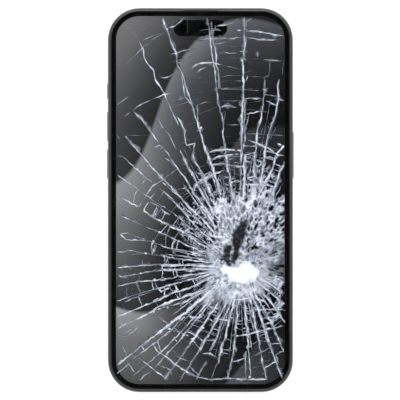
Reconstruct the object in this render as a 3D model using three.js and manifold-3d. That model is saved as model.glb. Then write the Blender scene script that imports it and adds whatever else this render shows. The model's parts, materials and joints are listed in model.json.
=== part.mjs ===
// A slab phone with a shattered front glass, modelled piece by piece in millimetres.
// Seen from the front, +X is to the right, +Y is to the top and +Z comes out of the screen.
// The origin is the middle of the flat back, which the phone lies on.

import * as THREE from "three";
import { mergeVertices } from "three/addons/utils/BufferGeometryUtils.js";
import Module from "manifold-3d";

// Driving dimensions: the outside
const PHONE_WIDTH = 70.6;
const PHONE_LENGTH = 146.6;
const PHONE_THICKNESS = 8.25;
const CORNER_RADIUS = 12.0;
const BAND_WALL = 2.3; // outer face of the band to the cavity
const BAND_EDGE_ROUND = 1.1; // rounding of the band's front and back edges
const RIM_WIDTH = 1.25; // band seen beside the glass, front and back
const GLASS_PROUD = 0.2; // each glass stands out of the band
const GLASS_GAP = 0.1; // each glass to the band's rim
const GLASS_EDGE_ROUND = 0.3;
const BEZEL_WIDTH = 1.75; // black border between the glass edge and the picture

// Driving dimensions: the layers, from the back to the front
const BACK_GLASS_THICKNESS = 0.8;
const BACK_GASKET_THICKNESS = 0.2;
const COIL_THICKNESS = 0.45;
const MID_PLATE_THICKNESS = 0.6;
const DISPLAY_GASKET_THICKNESS = 0.2;
const SHIELD_THICKNESS = 0.2;
const PANEL_THICKNESS = 1.2;
const COVER_GLASS_THICKNESS = 0.9;
const BOND = 0.05; // glue line between stacked or inlaid pieces
const BAY_CLEARANCE = 0.3; // free space around what is screwed or glued into the cavity

// Driving dimensions: side buttons and their switches
const BUTTON_HEIGHT = 2.5;
const BUTTON_PROTRUSION = 0.38;
const BUTTON_CLEARANCE = 0.15; // all round, in the slot through the band
const BUTTON_EDGE_ROUND = 0.3;
const BUTTON_TRAVEL = 0.3;
const FLANGE_RIM = 0.4; // flange wider than the cap, so that it can't fall out
const FLANGE_THICKNESS = 0.5;
const FLANGE_GAP = 0.1;
const NUB_LENGTH = 0.3;
const NUB_RADIUS = 0.8;
const SWITCH_GAP = 0.05; // pressed nub to switch
const SWITCH_HEIGHT = 0.35;
const SWITCH_RADIUS = 1.3;
const SWITCH_BRACKET_THICKNESS = 0.5;
const SWITCH_BRACKET_MARGIN = 2.5; // bracket beyond the outermost button ends
const BUTTONS = [
  { name: "action", side: -1, fromTop: 31.6, length: 6.1 },
  { name: "volume_up", side: -1, fromTop: 45.1, length: 11.4 },
  { name: "volume_down", side: -1, fromTop: 59.4, length: 11.4 },
  { name: "side", side: 1, fromTop: 56.0, length: 17.9 },
];

// Driving dimensions: card tray on the left side
const TRAY_FROM_TOP = 84;
const TRAY_FACE_LENGTH = 15;
const TRAY_FACE_HEIGHT = 2.4;
const TRAY_FACE_THICKNESS = 1.2;
const TRAY_BODY_LENGTH = 11.6; // along the side
const TRAY_BODY_HEIGHT = 1.3;
const TRAY_BODY_DEPTH = 15.5;
const TRAY_CLEARANCE = 0.15;
const CARD_LENGTH = 12.3;
const CARD_WIDTH = 8.8;
const CARD_POCKET_DEPTH = 0.7;
const CARD_MARGIN = 1.2; // tray's inner end to the card
const TRAY_WINDOW_INSET = 1.4; // ledge that carries the card
const EJECT_HOLE_RADIUS = 0.4;
const READER_WALL = 0.3;

// Driving dimensions: plastic antenna breaks in the band
const ANTENNA_WIDTH = 0.8;
const ANTENNA_DEPTH = 0.8;
const ANTENNA_FROM_END = 16.4; // on the long sides, from the nearer end
const ANTENNA_FROM_SIDE = 15.0; // on the short sides, from the nearer long side

// Driving dimensions: bottom edge
const PORT_WIDTH = 8.34;
const PORT_HEIGHT = 2.56;
const PORT_DEPTH = 6.8;
const PORT_SHELL_WALL = 0.3;
const PORT_CLEARANCE = 0.1;
const TONGUE_WIDTH = 6.69;
const TONGUE_THICKNESS = 0.7;
const TONGUE_SETBACK = 1.0; // tongue tip behind the mouth
const EDGE_SCREW_SPACING = 14.8;
const EDGE_SCREW_HEAD_RADIUS = 0.9;
const EDGE_SCREW_HEAD_LENGTH = 0.8;
const EDGE_SCREW_SHANK_RADIUS = 0.6;
const EDGE_SCREW_SINK = 0.1; // head below the band's face
const EDGE_SCREW_DRIVE_RADII = [0.56, 0.27]; // star recess: its points and the notches between them
const EDGE_SCREW_DRIVE_POINTS = 5;
const EDGE_SCREW_DRIVE_DEPTH = 0.4;
const SCREW_CLEARANCE = 0.15;
const SOUND_HOLE_RADIUS = 0.75;
const SOUND_HOLE_PITCH = 2.4;
const SOUND_HOLE_FIRST = 10.8; // from the middle
const MESH_THICKNESS = 0.3;
const MESH_MARGIN = 1.0;

// Driving dimensions: sensors, camera and sound at the top
const PILL_LENGTH = 20.6;
const PILL_HEIGHT = 6.2;
const PILL_FROM_TOP = 7.7;
const PILL_CLEARANCE = 0.1;
const SENSOR_BORE_DEPTH = 2.4;
const SENSOR_CLEARANCE = 0.1;
const SENSORS = [
  { name: "front_camera", x: 6.6, radius: 2.0 },
  { name: "dot_projector", x: 0.4, radius: 1.3 },
  { name: "infrared_camera", x: -6.6, radius: 1.6 },
];
const EARPIECE_SLOT_LENGTH = 13.4;
const EARPIECE_SLOT_DEPTH = 0.35;
const EARPIECE_MESH_HEIGHT = 0.9;
const CAMERA_WINDOW_LENGTH = 27;
const CAMERA_WINDOW_WIDTH = 12.4;
const CAMERA_WINDOW_RECESS = 0.1;
const CAMERA_LENS_SPACING = 14;
const CAMERA_BARREL_RADIUS = 4.2;
const CAMERA_BARREL_CLEARANCE = 0.3;
const CAMERA_MODULE_WIDTH = 21;
const FLASH_RADIUS = 2.5;
const FLASH_CHIP = 3.0;
const FLASH_FROM_WINDOW = 5.0; // window edge to the flash's middle

// Driving dimensions: what fills the cavity
const TOP_BAY_LENGTH = 12.8;
const CAMERA_BAY_LENGTH = 29;
const BOTTOM_BAY_LENGTH = 15.5;
const FLEX_CORRIDOR = 4.2; // free lane between the haptic motor and the main bay
const MODULE_FROM_MIDDLE = 9.4; // bottom modules stay clear of the port and its screws
const BOARD_WIDTH = 19;
const BOARD_THICKNESS = 0.6;
const BOARD_SHIELD_HEIGHT = 1.7;
const BOARD_EDGE = 1.0; // bare board around its shields
const CONNECTOR_ZONE_LENGTH = 13;
const CONNECTOR_COVER_HEIGHT = 0.7;
const BATTERY_EDGE_ROUND = 0.8;
const ADHESIVE_THICKNESS = 0.15;
const ADHESIVE_MARGIN = 3; // sheet's edge inside the battery's
const BATTERY_TO_SHIELD = 0.3;
const BOARD_SCREW_HEAD_RADIUS = 1.1;
const BOARD_SCREW_HEAD_HEIGHT = 0.5;
const BOARD_SCREW_SHANK_RADIUS = 0.7;
const BOARD_SCREW_INSET = 1.8; // from the board's edges
const FLEX_THICKNESS = 0.15;
const FLEX_WIDTH = 6;
const MAGNET_RING_DIAMETER = 52;
const MAGNET_RING_WIDTH = 3.5;
const COIL_DIAMETER = 42;
const COIL_BORE = 20;

// Driving dimensions: the damage
const IMPACT = { x: 14.8, y: -26.0 };
const CRACK_DEPTH = 0.35;
const CRACK_WIDTH_NEAR = 0.45;
const CRACK_WIDTH_FAR = 0.16;
const CRUSHED_RADIUS = 9; // radial cracks start here
const CRACK_RIM_MARGIN = 1.2; // cracks die out before the glass edge
const CRACK_KINK = 0.5; // sideways step half way along
const CRACK_HEADINGS = [
  -6, -24, -41, -58, -73, -87, -102, -117, -131, -143, -155, -166, -176, 171, 162, 152, 141, 131,
  121, 111, 101, 91, 81, 70, 56, 38, 16,
];
const RING_RADII = [18, 30, 46];
const RING_WIDTH = 0.18;
const RING_STAGGER = 1.1; // neighbouring chords of a ring don't line up
// outline of the chunk of glass that is gone, from the point of impact
const GOUGE = [
  [-4.6, 0.9], [-5.4, 4.2], [-4.6, 7.2], [-2.6, 8.4], [-1.3, 12.2], [0.7, 16.2], [2.2, 17.7],
  [3.5, 16.2], [2.1, 12.6], [1.0, 8.4], [0.3, 4.4], [-1.9, 0.6],
];

// Fineness of round stretches: each arc has twice as many straight runs
const OUTLINE_SEGMENTS = 5;
const SMALL_SEGMENTS = 2;
const ROUND_SEGMENTS = 7;
const RING_SEGMENTS = 16;
const EDGE_SEGMENTS = 2;
const OVERRUN = 1; // cuts run past the faces that they open
const MERGE_TOLERANCE = 1e-4;

// Positions that follow from the sizes
const halfWidth = PHONE_WIDTH / 2;
const halfLength = PHONE_LENGTH / 2;
const cavityX = halfWidth - BAND_WALL;
const cavityY = halfLength - BAND_WALL;
const glassInset = RIM_WIDTH + GLASS_GAP;
const pictureInset = glassInset + BEZEL_WIDTH;
const bandZ = [GLASS_PROUD, PHONE_THICKNESS - GLASS_PROUD];
const backLedgeZ = BACK_GLASS_THICKNESS + BACK_GASKET_THICKNESS + 2 * BOND;
const coilZ = [BACK_GLASS_THICKNESS + BOND, BACK_GLASS_THICKNESS + BOND + COIL_THICKNESS];
const plateZ = [coilZ[1] + BOND, coilZ[1] + BOND + MID_PLATE_THICKNESS];
const coverZ = [PHONE_THICKNESS - COVER_GLASS_THICKNESS, PHONE_THICKNESS];
const panelZ = [coverZ[0] - BOND - PANEL_THICKNESS, coverZ[0] - BOND];
const shieldZ = [panelZ[0] - BOND - SHIELD_THICKNESS, panelZ[0] - BOND];
const gasketZ = [shieldZ[0] - BOND - DISPLAY_GASKET_THICKNESS, shieldZ[0] - BOND];
const frontLedgeZ = gasketZ[0] - BOND;
const bayZ = [plateZ[1] + BOND, shieldZ[0] - BATTERY_TO_SHIELD];
const boardZ = [bayZ[0], bayZ[0] + BOARD_THICKNESS];
const sideZ = (bayZ[0] + gasketZ[0]) / 2 + BOND; // buttons, tray and port are centred here
const switchX = cavityX - FLANGE_GAP - FLANGE_THICKNESS - NUB_LENGTH - BUTTON_TRAVEL - SWITCH_GAP;
const bracketX = switchX - SWITCH_HEIGHT - SWITCH_BRACKET_THICKNESS;
const bayX = bracketX - BAY_CLEARANCE;
const bayY = cavityY - BAY_CLEARANCE - MESH_THICKNESS;
const mainBayTop = bayY - TOP_BAY_LENGTH;
const mainBayBottom = -bayY + BOTTOM_BAY_LENGTH;
const boardRight = -bayX + BOARD_WIDTH;
const columnLeft = boardRight + BAY_CLEARANCE;
const cameraBottom = mainBayTop - CAMERA_BAY_LENGTH;
const pillY = halfLength - PILL_FROM_TOP;
const trayY = halfLength - TRAY_FROM_TOP;
const trayEndX = -halfWidth + TRAY_FACE_THICKNESS + TRAY_BODY_DEPTH;
const cameraX = bayX - CAMERA_MODULE_WIDTH / 2 - BAY_CLEARANCE;
const cameraY = mainBayTop - CAMERA_BAY_LENGTH / 2;
const flashX = cameraX - CAMERA_WINDOW_WIDTH / 2 - FLASH_FROM_WINDOW;

const wasm = await Module();
wasm.setup();
const phone = new THREE.Group();

const finish = (color, roughness, metalness, extra = {}) =>
  new THREE.MeshStandardMaterial({ color, roughness, metalness, ...extra });
const MATERIALS = {
  titanium: finish(0x6b6a66, 0.42, 1),
  insert: finish(0x3d3d3b, 0.6, 0),
  clearGlass: finish(0xdfe3ea, 0.05, 0, { transparent: true, opacity: 0.35 }),
  backGlass: finish(0x3a3b3d, 0.35, 0),
  darkGlass: finish(0x0b0c0e, 0.05, 0),
  picture: finish(0x4a4b50, 0.2, 0),
  blackPlastic: finish(0x0c0c0d, 0.5, 0),
  rubber: finish(0x141414, 0.85, 0),
  aluminium: finish(0xa9abad, 0.45, 1),
  steel: finish(0xb4b4b4, 0.35, 1),
  pouch: finish(0x1d1d20, 0.55, 0),
  circuit: finish(0x12301f, 0.5, 0),
  flex: finish(0x6a3d12, 0.5, 0),
  copper: finish(0xb06a3a, 0.4, 1),
  adhesive: finish(0xd8d8d8, 0.7, 0),
  mesh: finish(0x1c1c1d, 0.8, 0.4),
};

// Solids and meshes

function toSolid(geometry) {
  const bare = geometry.clone();
  bare.deleteAttribute("normal");
  bare.deleteAttribute("uv");
  const merged = mergeVertices(bare, MERGE_TOLERANCE);
  const vertProperties = new Float32Array(merged.attributes.position.array);
  const triVerts = new Uint32Array(merged.index.array);
  return new wasm.Manifold(new wasm.Mesh({ numProp: 3, vertProperties, triVerts }));
}

function toGeometry(solid) {
  const { vertProperties, triVerts } = solid.getMesh();
  const geometry = new THREE.BufferGeometry();
  geometry.setAttribute("position", new THREE.BufferAttribute(vertProperties, 3));
  geometry.setIndex(new THREE.BufferAttribute(triVerts, 1));
  geometry.computeVertexNormals();
  return geometry;
}

function piece(name, solid, material, parent = phone) {
  const mesh = new THREE.Mesh(toGeometry(solid), material);
  mesh.name = name;
  parent.add(mesh);
}

const ordered = (pair) => pair.toSorted((a, b) => a - b);
const around = (middle, size) => [middle - size / 2, middle + size / 2];
const shrunk = ([low, high], margin) => [low + margin, high - margin];
const throughZ = [-OVERRUN, PHONE_THICKNESS + OVERRUN];
const joined = (solids) => solids.reduce((sum, solid) => sum.add(solid));
const without = (solid, cuts) => cuts.reduce((rest, cut) => rest.subtract(cut), solid);

// Shapes, drawn in the XY plane

function roundedRectangle(x, y, radius) {
  const shape = new THREE.Shape();
  const [cx, cy] = [(x[0] + x[1]) / 2, (y[0] + y[1]) / 2];
  const [dx, dy] = [(x[1] - x[0]) / 2 - radius, (y[1] - y[0]) / 2 - radius];
  [[1, -1], [1, 1], [-1, 1], [-1, -1]].forEach(([sx, sy], quarter) => {
    const start = ((quarter - 1) * Math.PI) / 2;
    shape.absarc(cx + sx * dx, cy + sy * dy, radius, start, start + Math.PI / 2, false);
  });
  return shape;
}

const outline = (inset) =>
  roundedRectangle(
    [-halfWidth + inset, halfWidth - inset],
    [-halfLength + inset, halfLength - inset],
    CORNER_RADIUS - inset,
  );

function stadium(width, length, x = 0, y = 0) {
  const radius = Math.min(width, length) / 2;
  return roundedRectangle([x - width / 2, x + width / 2], [y - length / 2, y + length / 2], radius);
}

function circle(radius, x = 0, y = 0) {
  const shape = new THREE.Shape();
  shape.absarc(x, y, radius, 0, 2 * Math.PI, false);
  return shape;
}

function polygon(points) {
  return new THREE.Shape(points.map(([x, y]) => new THREE.Vector2(x, y)));
}

// Bodies: an upright prism with rounded rims, a box, and the ways to lay a prism on its side

function prismGeometry(shape, z, { edge = 0, segments = OUTLINE_SEGMENTS } = {}) {
  const geometry = new THREE.ExtrudeGeometry(shape, {
    depth: z[1] - z[0] - 2 * edge,
    curveSegments: segments,
    bevelEnabled: edge > 0,
    bevelThickness: edge,
    bevelSize: edge,
    bevelOffset: -edge,
    bevelSegments: EDGE_SEGMENTS,
  });
  return geometry.translate(0, 0, z[0] + edge);
}

const prism = (shape, z, options) => toSolid(prismGeometry(shape, z, options));
const small = (shape, z, edge = 0) => prism(shape, z, { edge, segments: SMALL_SEGMENTS });
const disc = (radius, x, y, z) => prism(circle(radius, x, y), z, { segments: ROUND_SEGMENTS });

function box(x, y, z) {
  const geometry = new THREE.BoxGeometry(x[1] - x[0], y[1] - y[0], z[1] - z[0]);
  const middle = [x, y, z].map(([low, high]) => (low + high) / 2);
  return toSolid(geometry.translate(...middle));
}

// local Z points out of the left (-1) or right (1) side, with local Z = 0 on the band's face
function outOfSide(side, y, z) {
  const turn = new THREE.Matrix4().makeRotationY((side * Math.PI) / 2);
  return new THREE.Matrix4().makeTranslation(side * halfWidth, y, z).multiply(turn);
}

// local Z points out of the bottom edge and local Y to the front, with local Z = 0 on the band's face
function outOfBottom(x, z) {
  const turn = new THREE.Matrix4().makeRotationX(Math.PI / 2);
  return new THREE.Matrix4().makeTranslation(x, -halfLength, z).multiply(turn);
}

function groupAt(matrix) {
  const group = new THREE.Group();
  matrix.decompose(group.position, group.quaternion, group.scale);
  phone.add(group);
  return group;
}

const placed = (geometry, matrix) => toSolid(geometry.applyMatrix4(matrix));
const laidPrism = (shape, z, matrix, segments = SMALL_SEGMENTS) =>
  placed(prismGeometry(shape, z, { segments }), matrix);

// a ring between two insets from the outside, and what fits in the cavity's rounded corners
const ring = (outer, inner, z) =>
  prism(outline(outer), z).subtract(prism(outline(inner), [z[0] - OVERRUN, z[1] + OVERRUN]));
const cavity = prism(outline(BAND_WALL + BAY_CLEARANCE + MESH_THICKNESS), [0, PHONE_THICKNESS]);
const inCavity = (solid) => solid.intersect(cavity);

// Metal band with its slots, holes and antenna breaks

const longBreak = (side, end, grow) => {
  const x = [halfWidth - ANTENNA_DEPTH - grow, halfWidth + OVERRUN].map((value) => side * value);
  const middle = end * (halfLength - ANTENNA_FROM_END);
  const half = ANTENNA_WIDTH / 2 + grow;
  return box(ordered(x), [middle - half, middle + half], throughZ);
};
const shortBreak = (side, end, grow) => {
  const y = [halfLength - ANTENNA_DEPTH - grow, halfLength + OVERRUN].map((value) => end * value);
  const middle = side * (halfWidth - ANTENNA_FROM_SIDE);
  const half = ANTENNA_WIDTH / 2 + grow;
  return box([middle - half, middle + half], ordered(y), throughZ);
};
const ANTENNA_BREAKS = {
  left_upper: (grow) => longBreak(-1, 1, grow),
  left_lower: (grow) => longBreak(-1, -1, grow),
  right_upper: (grow) => longBreak(1, 1, grow),
  right_lower: (grow) => longBreak(1, -1, grow),
  top: (grow) => shortBreak(1, 1, grow),
  bottom: (grow) => shortBreak(-1, -1, grow),
};

const buttonY = (button) => halfLength - button.fromTop;
const buttonSlot = (button) =>
  laidPrism(
    stadium(BUTTON_HEIGHT + 2 * BUTTON_CLEARANCE, button.length + 2 * BUTTON_CLEARANCE),
    [-BAND_WALL - OVERRUN, OVERRUN],
    outOfSide(button.side, buttonY(button), sideZ),
  );

function traySlots() {
  const matrix = outOfSide(-1, trayY, sideZ);
  const gap = 2 * TRAY_CLEARANCE;
  const face = stadium(TRAY_FACE_HEIGHT + gap, TRAY_FACE_LENGTH + gap);
  const bodyX = (TRAY_BODY_HEIGHT + gap) / 2;
  const bodyY = (TRAY_BODY_LENGTH + gap) / 2;
  const body = polygon([[-bodyX, -bodyY], [bodyX, -bodyY], [bodyX, bodyY], [-bodyX, bodyY]]);
  return [
    laidPrism(face, [-TRAY_FACE_THICKNESS - TRAY_CLEARANCE, OVERRUN], matrix),
    laidPrism(body, [-BAND_WALL - OVERRUN, 0], matrix),
  ];
}

// sound holes run outwards from the edge screws, on the left up to the antenna break
function soundHoleRow(side, limit) {
  const run = limit - SOUND_HOLE_RADIUS - SOUND_HOLE_FIRST;
  const length = Math.floor(run / SOUND_HOLE_PITCH) + 1;
  return Array.from({ length }, (_, index) => side * (SOUND_HOLE_FIRST + index * SOUND_HOLE_PITCH));
}
const breakEdge = halfWidth - ANTENNA_FROM_SIDE - ANTENNA_WIDTH / 2 - BAY_CLEARANCE;
const microphoneHoles = soundHoleRow(-1, breakEdge);
const speakerHoles = soundHoleRow(1, halfWidth - CORNER_RADIUS);

function bottomHoles() {
  const through = [-BAND_WALL - OVERRUN, OVERRUN];
  const shellWidth = PORT_WIDTH + 2 * (PORT_SHELL_WALL + PORT_CLEARANCE);
  const shellHeight = PORT_HEIGHT + 2 * (PORT_SHELL_WALL + PORT_CLEARANCE);
  const holes = [laidPrism(stadium(shellWidth, shellHeight), through, outOfBottom(0, sideZ))];
  for (const side of [-1, 1]) {
    const screw = outOfBottom((side * EDGE_SCREW_SPACING) / 2, sideZ);
    const headSeat = -EDGE_SCREW_SINK - EDGE_SCREW_HEAD_LENGTH - BOND;
    const head = circle(EDGE_SCREW_HEAD_RADIUS + SCREW_CLEARANCE);
    const shank = circle(EDGE_SCREW_SHANK_RADIUS + SCREW_CLEARANCE);
    holes.push(laidPrism(head, [headSeat, OVERRUN], screw, ROUND_SEGMENTS));
    holes.push(laidPrism(shank, through, screw, ROUND_SEGMENTS));
  }
  for (const x of [...microphoneHoles, ...speakerHoles]) {
    const hole = circle(SOUND_HOLE_RADIUS);
    holes.push(laidPrism(hole, through, outOfBottom(x, sideZ), ROUND_SEGMENTS));
  }
  return holes;
}

const earpieceNotchY = [halfLength - RIM_WIDTH - OVERRUN, halfLength - RIM_WIDTH + EARPIECE_SLOT_DEPTH];
const earpieceX = [-EARPIECE_SLOT_LENGTH / 2, EARPIECE_SLOT_LENGTH / 2];

function band() {
  const cuts = [
    prism(outline(RIM_WIDTH), [-OVERRUN, backLedgeZ]),
    prism(outline(BAND_WALL), [0, PHONE_THICKNESS]),
    prism(outline(RIM_WIDTH), [frontLedgeZ, PHONE_THICKNESS + OVERRUN]),
    box(earpieceX, earpieceNotchY, [coverZ[0], PHONE_THICKNESS + OVERRUN]),
    ...BUTTONS.map(buttonSlot),
    ...traySlots(),
    ...bottomHoles(),
  ];
  return without(prism(outline(0), bandZ, { edge: BAND_EDGE_ROUND }), cuts);
}

const wholeBand = band();
const breakCuts = Object.values(ANTENNA_BREAKS).map((cut) => cut(BOND));
piece("frame_band", without(wholeBand, breakCuts), MATERIALS.titanium);
for (const [place, cut] of Object.entries(ANTENNA_BREAKS)) {
  piece(`antenna_insert_${place}`, wholeBand.intersect(cut(0)), MATERIALS.insert);
}

// Back glass, its seal, the camera window and the flash

const lensPlaces = [CAMERA_LENS_SPACING / 2, -CAMERA_LENS_SPACING / 2].map((dy) => cameraY + dy);
const windowShape = (grow) =>
  stadium(CAMERA_WINDOW_WIDTH + 2 * grow, CAMERA_WINDOW_LENGTH + 2 * grow, cameraX, cameraY);
const windowZ = [CAMERA_WINDOW_RECESS, BACK_GLASS_THICKNESS - BOND];

piece(
  "back_glass",
  without(prism(outline(glassInset), [0, BACK_GLASS_THICKNESS], { edge: GLASS_EDGE_ROUND }), [
    prism(windowShape(BOND), throughZ),
    disc(FLASH_RADIUS + BOND, flashX, cameraY, throughZ),
  ]),
  MATERIALS.backGlass,
);
piece(
  "back_gasket",
  ring(glassInset, BAND_WALL, [BACK_GLASS_THICKNESS + BOND, backLedgeZ - BOND]),
  MATERIALS.rubber,
);
piece("camera_window", prism(windowShape(0), windowZ), MATERIALS.darkGlass);
piece("flash_lens", disc(FLASH_RADIUS, flashX, cameraY, windowZ), MATERIALS.adhesive);
piece(
  "flash_led",
  box(around(flashX, FLASH_CHIP), around(cameraY, FLASH_CHIP), coilZ),
  MATERIALS.flex,
);

// Charging coil and magnet ring, behind the back glass

const annulus = (outer, inner, z) =>
  prism(circle(outer), z, { segments: RING_SEGMENTS }).subtract(
    prism(circle(inner), [z[0] - OVERRUN, z[1] + OVERRUN], { segments: RING_SEGMENTS }),
  );
const magnetRadius = MAGNET_RING_DIAMETER / 2;
piece("charging_coil", annulus(COIL_DIAMETER / 2, COIL_BORE / 2, coilZ), MATERIALS.copper);
piece(
  "magnet_ring",
  annulus(magnetRadius, magnetRadius - MAGNET_RING_WIDTH, coilZ),
  MATERIALS.steel,
);

// Logic board, its screws and the plate that carries everything

const boardScrewPlaces = [
  [-bayX + BOARD_SCREW_INSET, mainBayTop - BOARD_SCREW_INSET],
  [boardRight - BOARD_SCREW_INSET, mainBayBottom + BOARD_SCREW_INSET],
];
const screwBore = ([x, y]) =>
  disc(BOARD_SCREW_SHANK_RADIUS + SCREW_CLEARANCE, x, y, [0, PHONE_THICKNESS]);

piece(
  "mid_plate",
  without(prism(outline(BAND_WALL + BOND), plateZ), [
    ...lensPlaces.map((y) =>
      disc(CAMERA_BARREL_RADIUS + CAMERA_BARREL_CLEARANCE, cameraX, y, [0, PHONE_THICKNESS]),
    ),
    ...boardScrewPlaces.map(screwBore),
  ]),
  MATERIALS.aluminium,
);
piece(
  "logic_board",
  without(
    small(roundedRectangle([-bayX, boardRight], [mainBayBottom, mainBayTop], BOARD_EDGE), boardZ),
    boardScrewPlaces.map(screwBore),
  ),
  MATERIALS.circuit,
);
boardScrewPlaces.forEach(([x, y], index) => {
  const headZ = [boardZ[1] + BOND, boardZ[1] + BOND + BOARD_SCREW_HEAD_HEIGHT];
  const head = disc(BOARD_SCREW_HEAD_RADIUS, x, y, headZ);
  const shank = disc(BOARD_SCREW_SHANK_RADIUS, x, y, [plateZ[0] + BOND, headZ[1]]);
  piece(`board_screw_${index + 1}`, head.add(shank), MATERIALS.steel);
});

// Card tray and the reader that it slides into

const trayGroup = groupAt(outOfSide(-1, trayY, sideZ));
const readerY = TRAY_BODY_LENGTH / 2 + TRAY_CLEARANCE + READER_WALL;
const readerZ = TRAY_BODY_HEIGHT / 2 + TRAY_CLEARANCE + READER_WALL;

function cardTray() {
  const bodyZ = [-TRAY_FACE_THICKNESS - TRAY_BODY_DEPTH, -TRAY_FACE_THICKNESS];
  const body = box(around(0, TRAY_BODY_HEIGHT), around(0, TRAY_BODY_LENGTH), bodyZ);
  const face = small(stadium(TRAY_FACE_HEIGHT, TRAY_FACE_LENGTH), [-TRAY_FACE_THICKNESS, 0]);
  const pocketZ = [bodyZ[0] + CARD_MARGIN, bodyZ[0] + CARD_MARGIN + CARD_LENGTH];
  const top = TRAY_BODY_HEIGHT / 2;
  const pocket = box([top - CARD_POCKET_DEPTH, top + OVERRUN], around(0, CARD_WIDTH), pocketZ);
  const windowY = around(0, CARD_WIDTH - 2 * TRAY_WINDOW_INSET);
  const windowDepth = [pocketZ[0] + TRAY_WINDOW_INSET, pocketZ[1] - TRAY_WINDOW_INSET];
  const opening = box([-TRAY_BODY_HEIGHT, TRAY_BODY_HEIGHT], windowY, windowDepth);
  const ejectY = TRAY_FACE_LENGTH / 2 - TRAY_FACE_HEIGHT / 2;
  const eject = small(circle(EJECT_HOLE_RADIUS, 0, ejectY), [-TRAY_FACE_THICKNESS - OVERRUN, OVERRUN]);
  return without(face.add(body), [pocket, opening, eject]);
}

piece("card_tray", cardTray(), MATERIALS.titanium, trayGroup);
const readerX = [-bayX, trayEndX + TRAY_CLEARANCE + READER_WALL];
piece(
  "card_reader",
  box(readerX, [trayY - readerY, trayY + readerY], [sideZ - readerZ, sideZ + readerZ]).subtract(
    box(
      [-halfWidth, trayEndX + TRAY_CLEARANCE],
      [trayY - readerY + READER_WALL, trayY + readerY - READER_WALL],
      [sideZ - readerZ + READER_WALL, sideZ + readerZ - READER_WALL],
    ),
  ),
  MATERIALS.steel,
);

// Shields and connectors on the board

const shieldX = [-bayX + BOARD_EDGE, boardRight - BOARD_EDGE];
const canZ = [boardZ[1] + BOND, boardZ[1] + BOND + BOARD_SHIELD_HEIGHT];
const screwRoom = BOARD_SCREW_INSET + BOARD_SCREW_HEAD_RADIUS + BAY_CLEARANCE;
const connectorY = [mainBayTop - CONNECTOR_ZONE_LENGTH, mainBayTop - screwRoom];
const cans = {
  board_shield_upper: [trayY + readerY + BAY_CLEARANCE, connectorY[0] - BAY_CLEARANCE],
  board_shield_lower: [mainBayBottom + screwRoom, trayY - readerY - BAY_CLEARANCE],
};
for (const [name, y] of Object.entries(cans)) {
  piece(name, small(roundedRectangle(shieldX, y, BOARD_EDGE), canZ), MATERIALS.steel);
}
const coverPlateZ = [boardZ[1] + BOND, boardZ[1] + BOND + CONNECTOR_COVER_HEIGHT];
piece(
  "connector_cover",
  small(roundedRectangle(shieldX, connectorY, BOARD_EDGE), coverPlateZ),
  MATERIALS.aluminium,
);

// Battery and the sheet that glues it to the plate

const batteryX = [columnLeft, bayX];
const batteryY = [mainBayBottom, cameraBottom - BAY_CLEARANCE];
const batteryZ = [bayZ[0] + ADHESIVE_THICKNESS + BOND, bayZ[1]];
piece(
  "battery",
  prism(roundedRectangle(batteryX, batteryY, BATTERY_EDGE_ROUND * 2), batteryZ, {
    edge: BATTERY_EDGE_ROUND,
    segments: SMALL_SEGMENTS,
  }),
  MATERIALS.pouch,
);
piece(
  "battery_adhesive",
  box(
    shrunk(batteryX, ADHESIVE_MARGIN),
    shrunk(batteryY, ADHESIVE_MARGIN),
    [bayZ[0], bayZ[0] + ADHESIVE_THICKNESS],
  ),
  MATERIALS.adhesive,
);

// Flexible circuits

const displayFlexX = around((shieldX[0] + shieldX[1]) / 2, BOARD_WIDTH / 2);
const displayFlexTop = [shieldZ[0] - BOND - FLEX_THICKNESS, shieldZ[0] - BOND];
const displayFlexFoot = [coverPlateZ[1] + BOND, coverPlateZ[1] + BOND + FLEX_THICKNESS];
const displayFlexY = around((connectorY[0] + connectorY[1]) / 2, FLEX_WIDTH);
piece(
  "display_flex",
  joined([
    box(displayFlexX, displayFlexY, displayFlexTop),
    box(
      [displayFlexX[0], displayFlexX[0] + FLEX_THICKNESS],
      displayFlexY,
      [displayFlexFoot[0], displayFlexTop[1]],
    ),
    box(displayFlexX, displayFlexY, displayFlexFoot),
  ]),
  MATERIALS.flex,
);
const batteryFlexY = around((cans.board_shield_upper[0] + cans.board_shield_upper[1]) / 2, FLEX_WIDTH);
piece(
  "battery_flex",
  box(
    [shieldX[1] + BOND, columnLeft - BOND],
    batteryFlexY,
    [boardZ[1] + BOND, boardZ[1] + BOND + FLEX_THICKNESS],
  ),
  MATERIALS.flex,
);

// Port, its contact tongue, its flex and the two edge screws

const portGroup = groupAt(outOfBottom(0, sideZ));
const shellOuter = stadium(PORT_WIDTH + 2 * PORT_SHELL_WALL, PORT_HEIGHT + 2 * PORT_SHELL_WALL);
const shellZ = [-PORT_DEPTH - PORT_SHELL_WALL, -PORT_CLEARANCE];
piece(
  "port_shell",
  small(shellOuter, shellZ).subtract(small(stadium(PORT_WIDTH, PORT_HEIGHT), [-PORT_DEPTH, OVERRUN])),
  MATERIALS.steel,
  portGroup,
);
piece(
  "port_tongue",
  box(
    around(0, TONGUE_WIDTH),
    around(0, TONGUE_THICKNESS),
    [-PORT_DEPTH + BOND, -PORT_CLEARANCE - TONGUE_SETBACK],
  ),
  MATERIALS.blackPlastic,
  portGroup,
);
const portBackY = -halfLength + PORT_DEPTH + PORT_SHELL_WALL;
const laneY = [mainBayBottom - BAY_CLEARANCE - FLEX_WIDTH / 2, mainBayBottom - BAY_CLEARANCE];
const portFlexZ = [bayZ[0], bayZ[0] + FLEX_THICKNESS];
const portFlexX = [boardRight - FLEX_WIDTH - screwRoom, boardRight - screwRoom];
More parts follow.
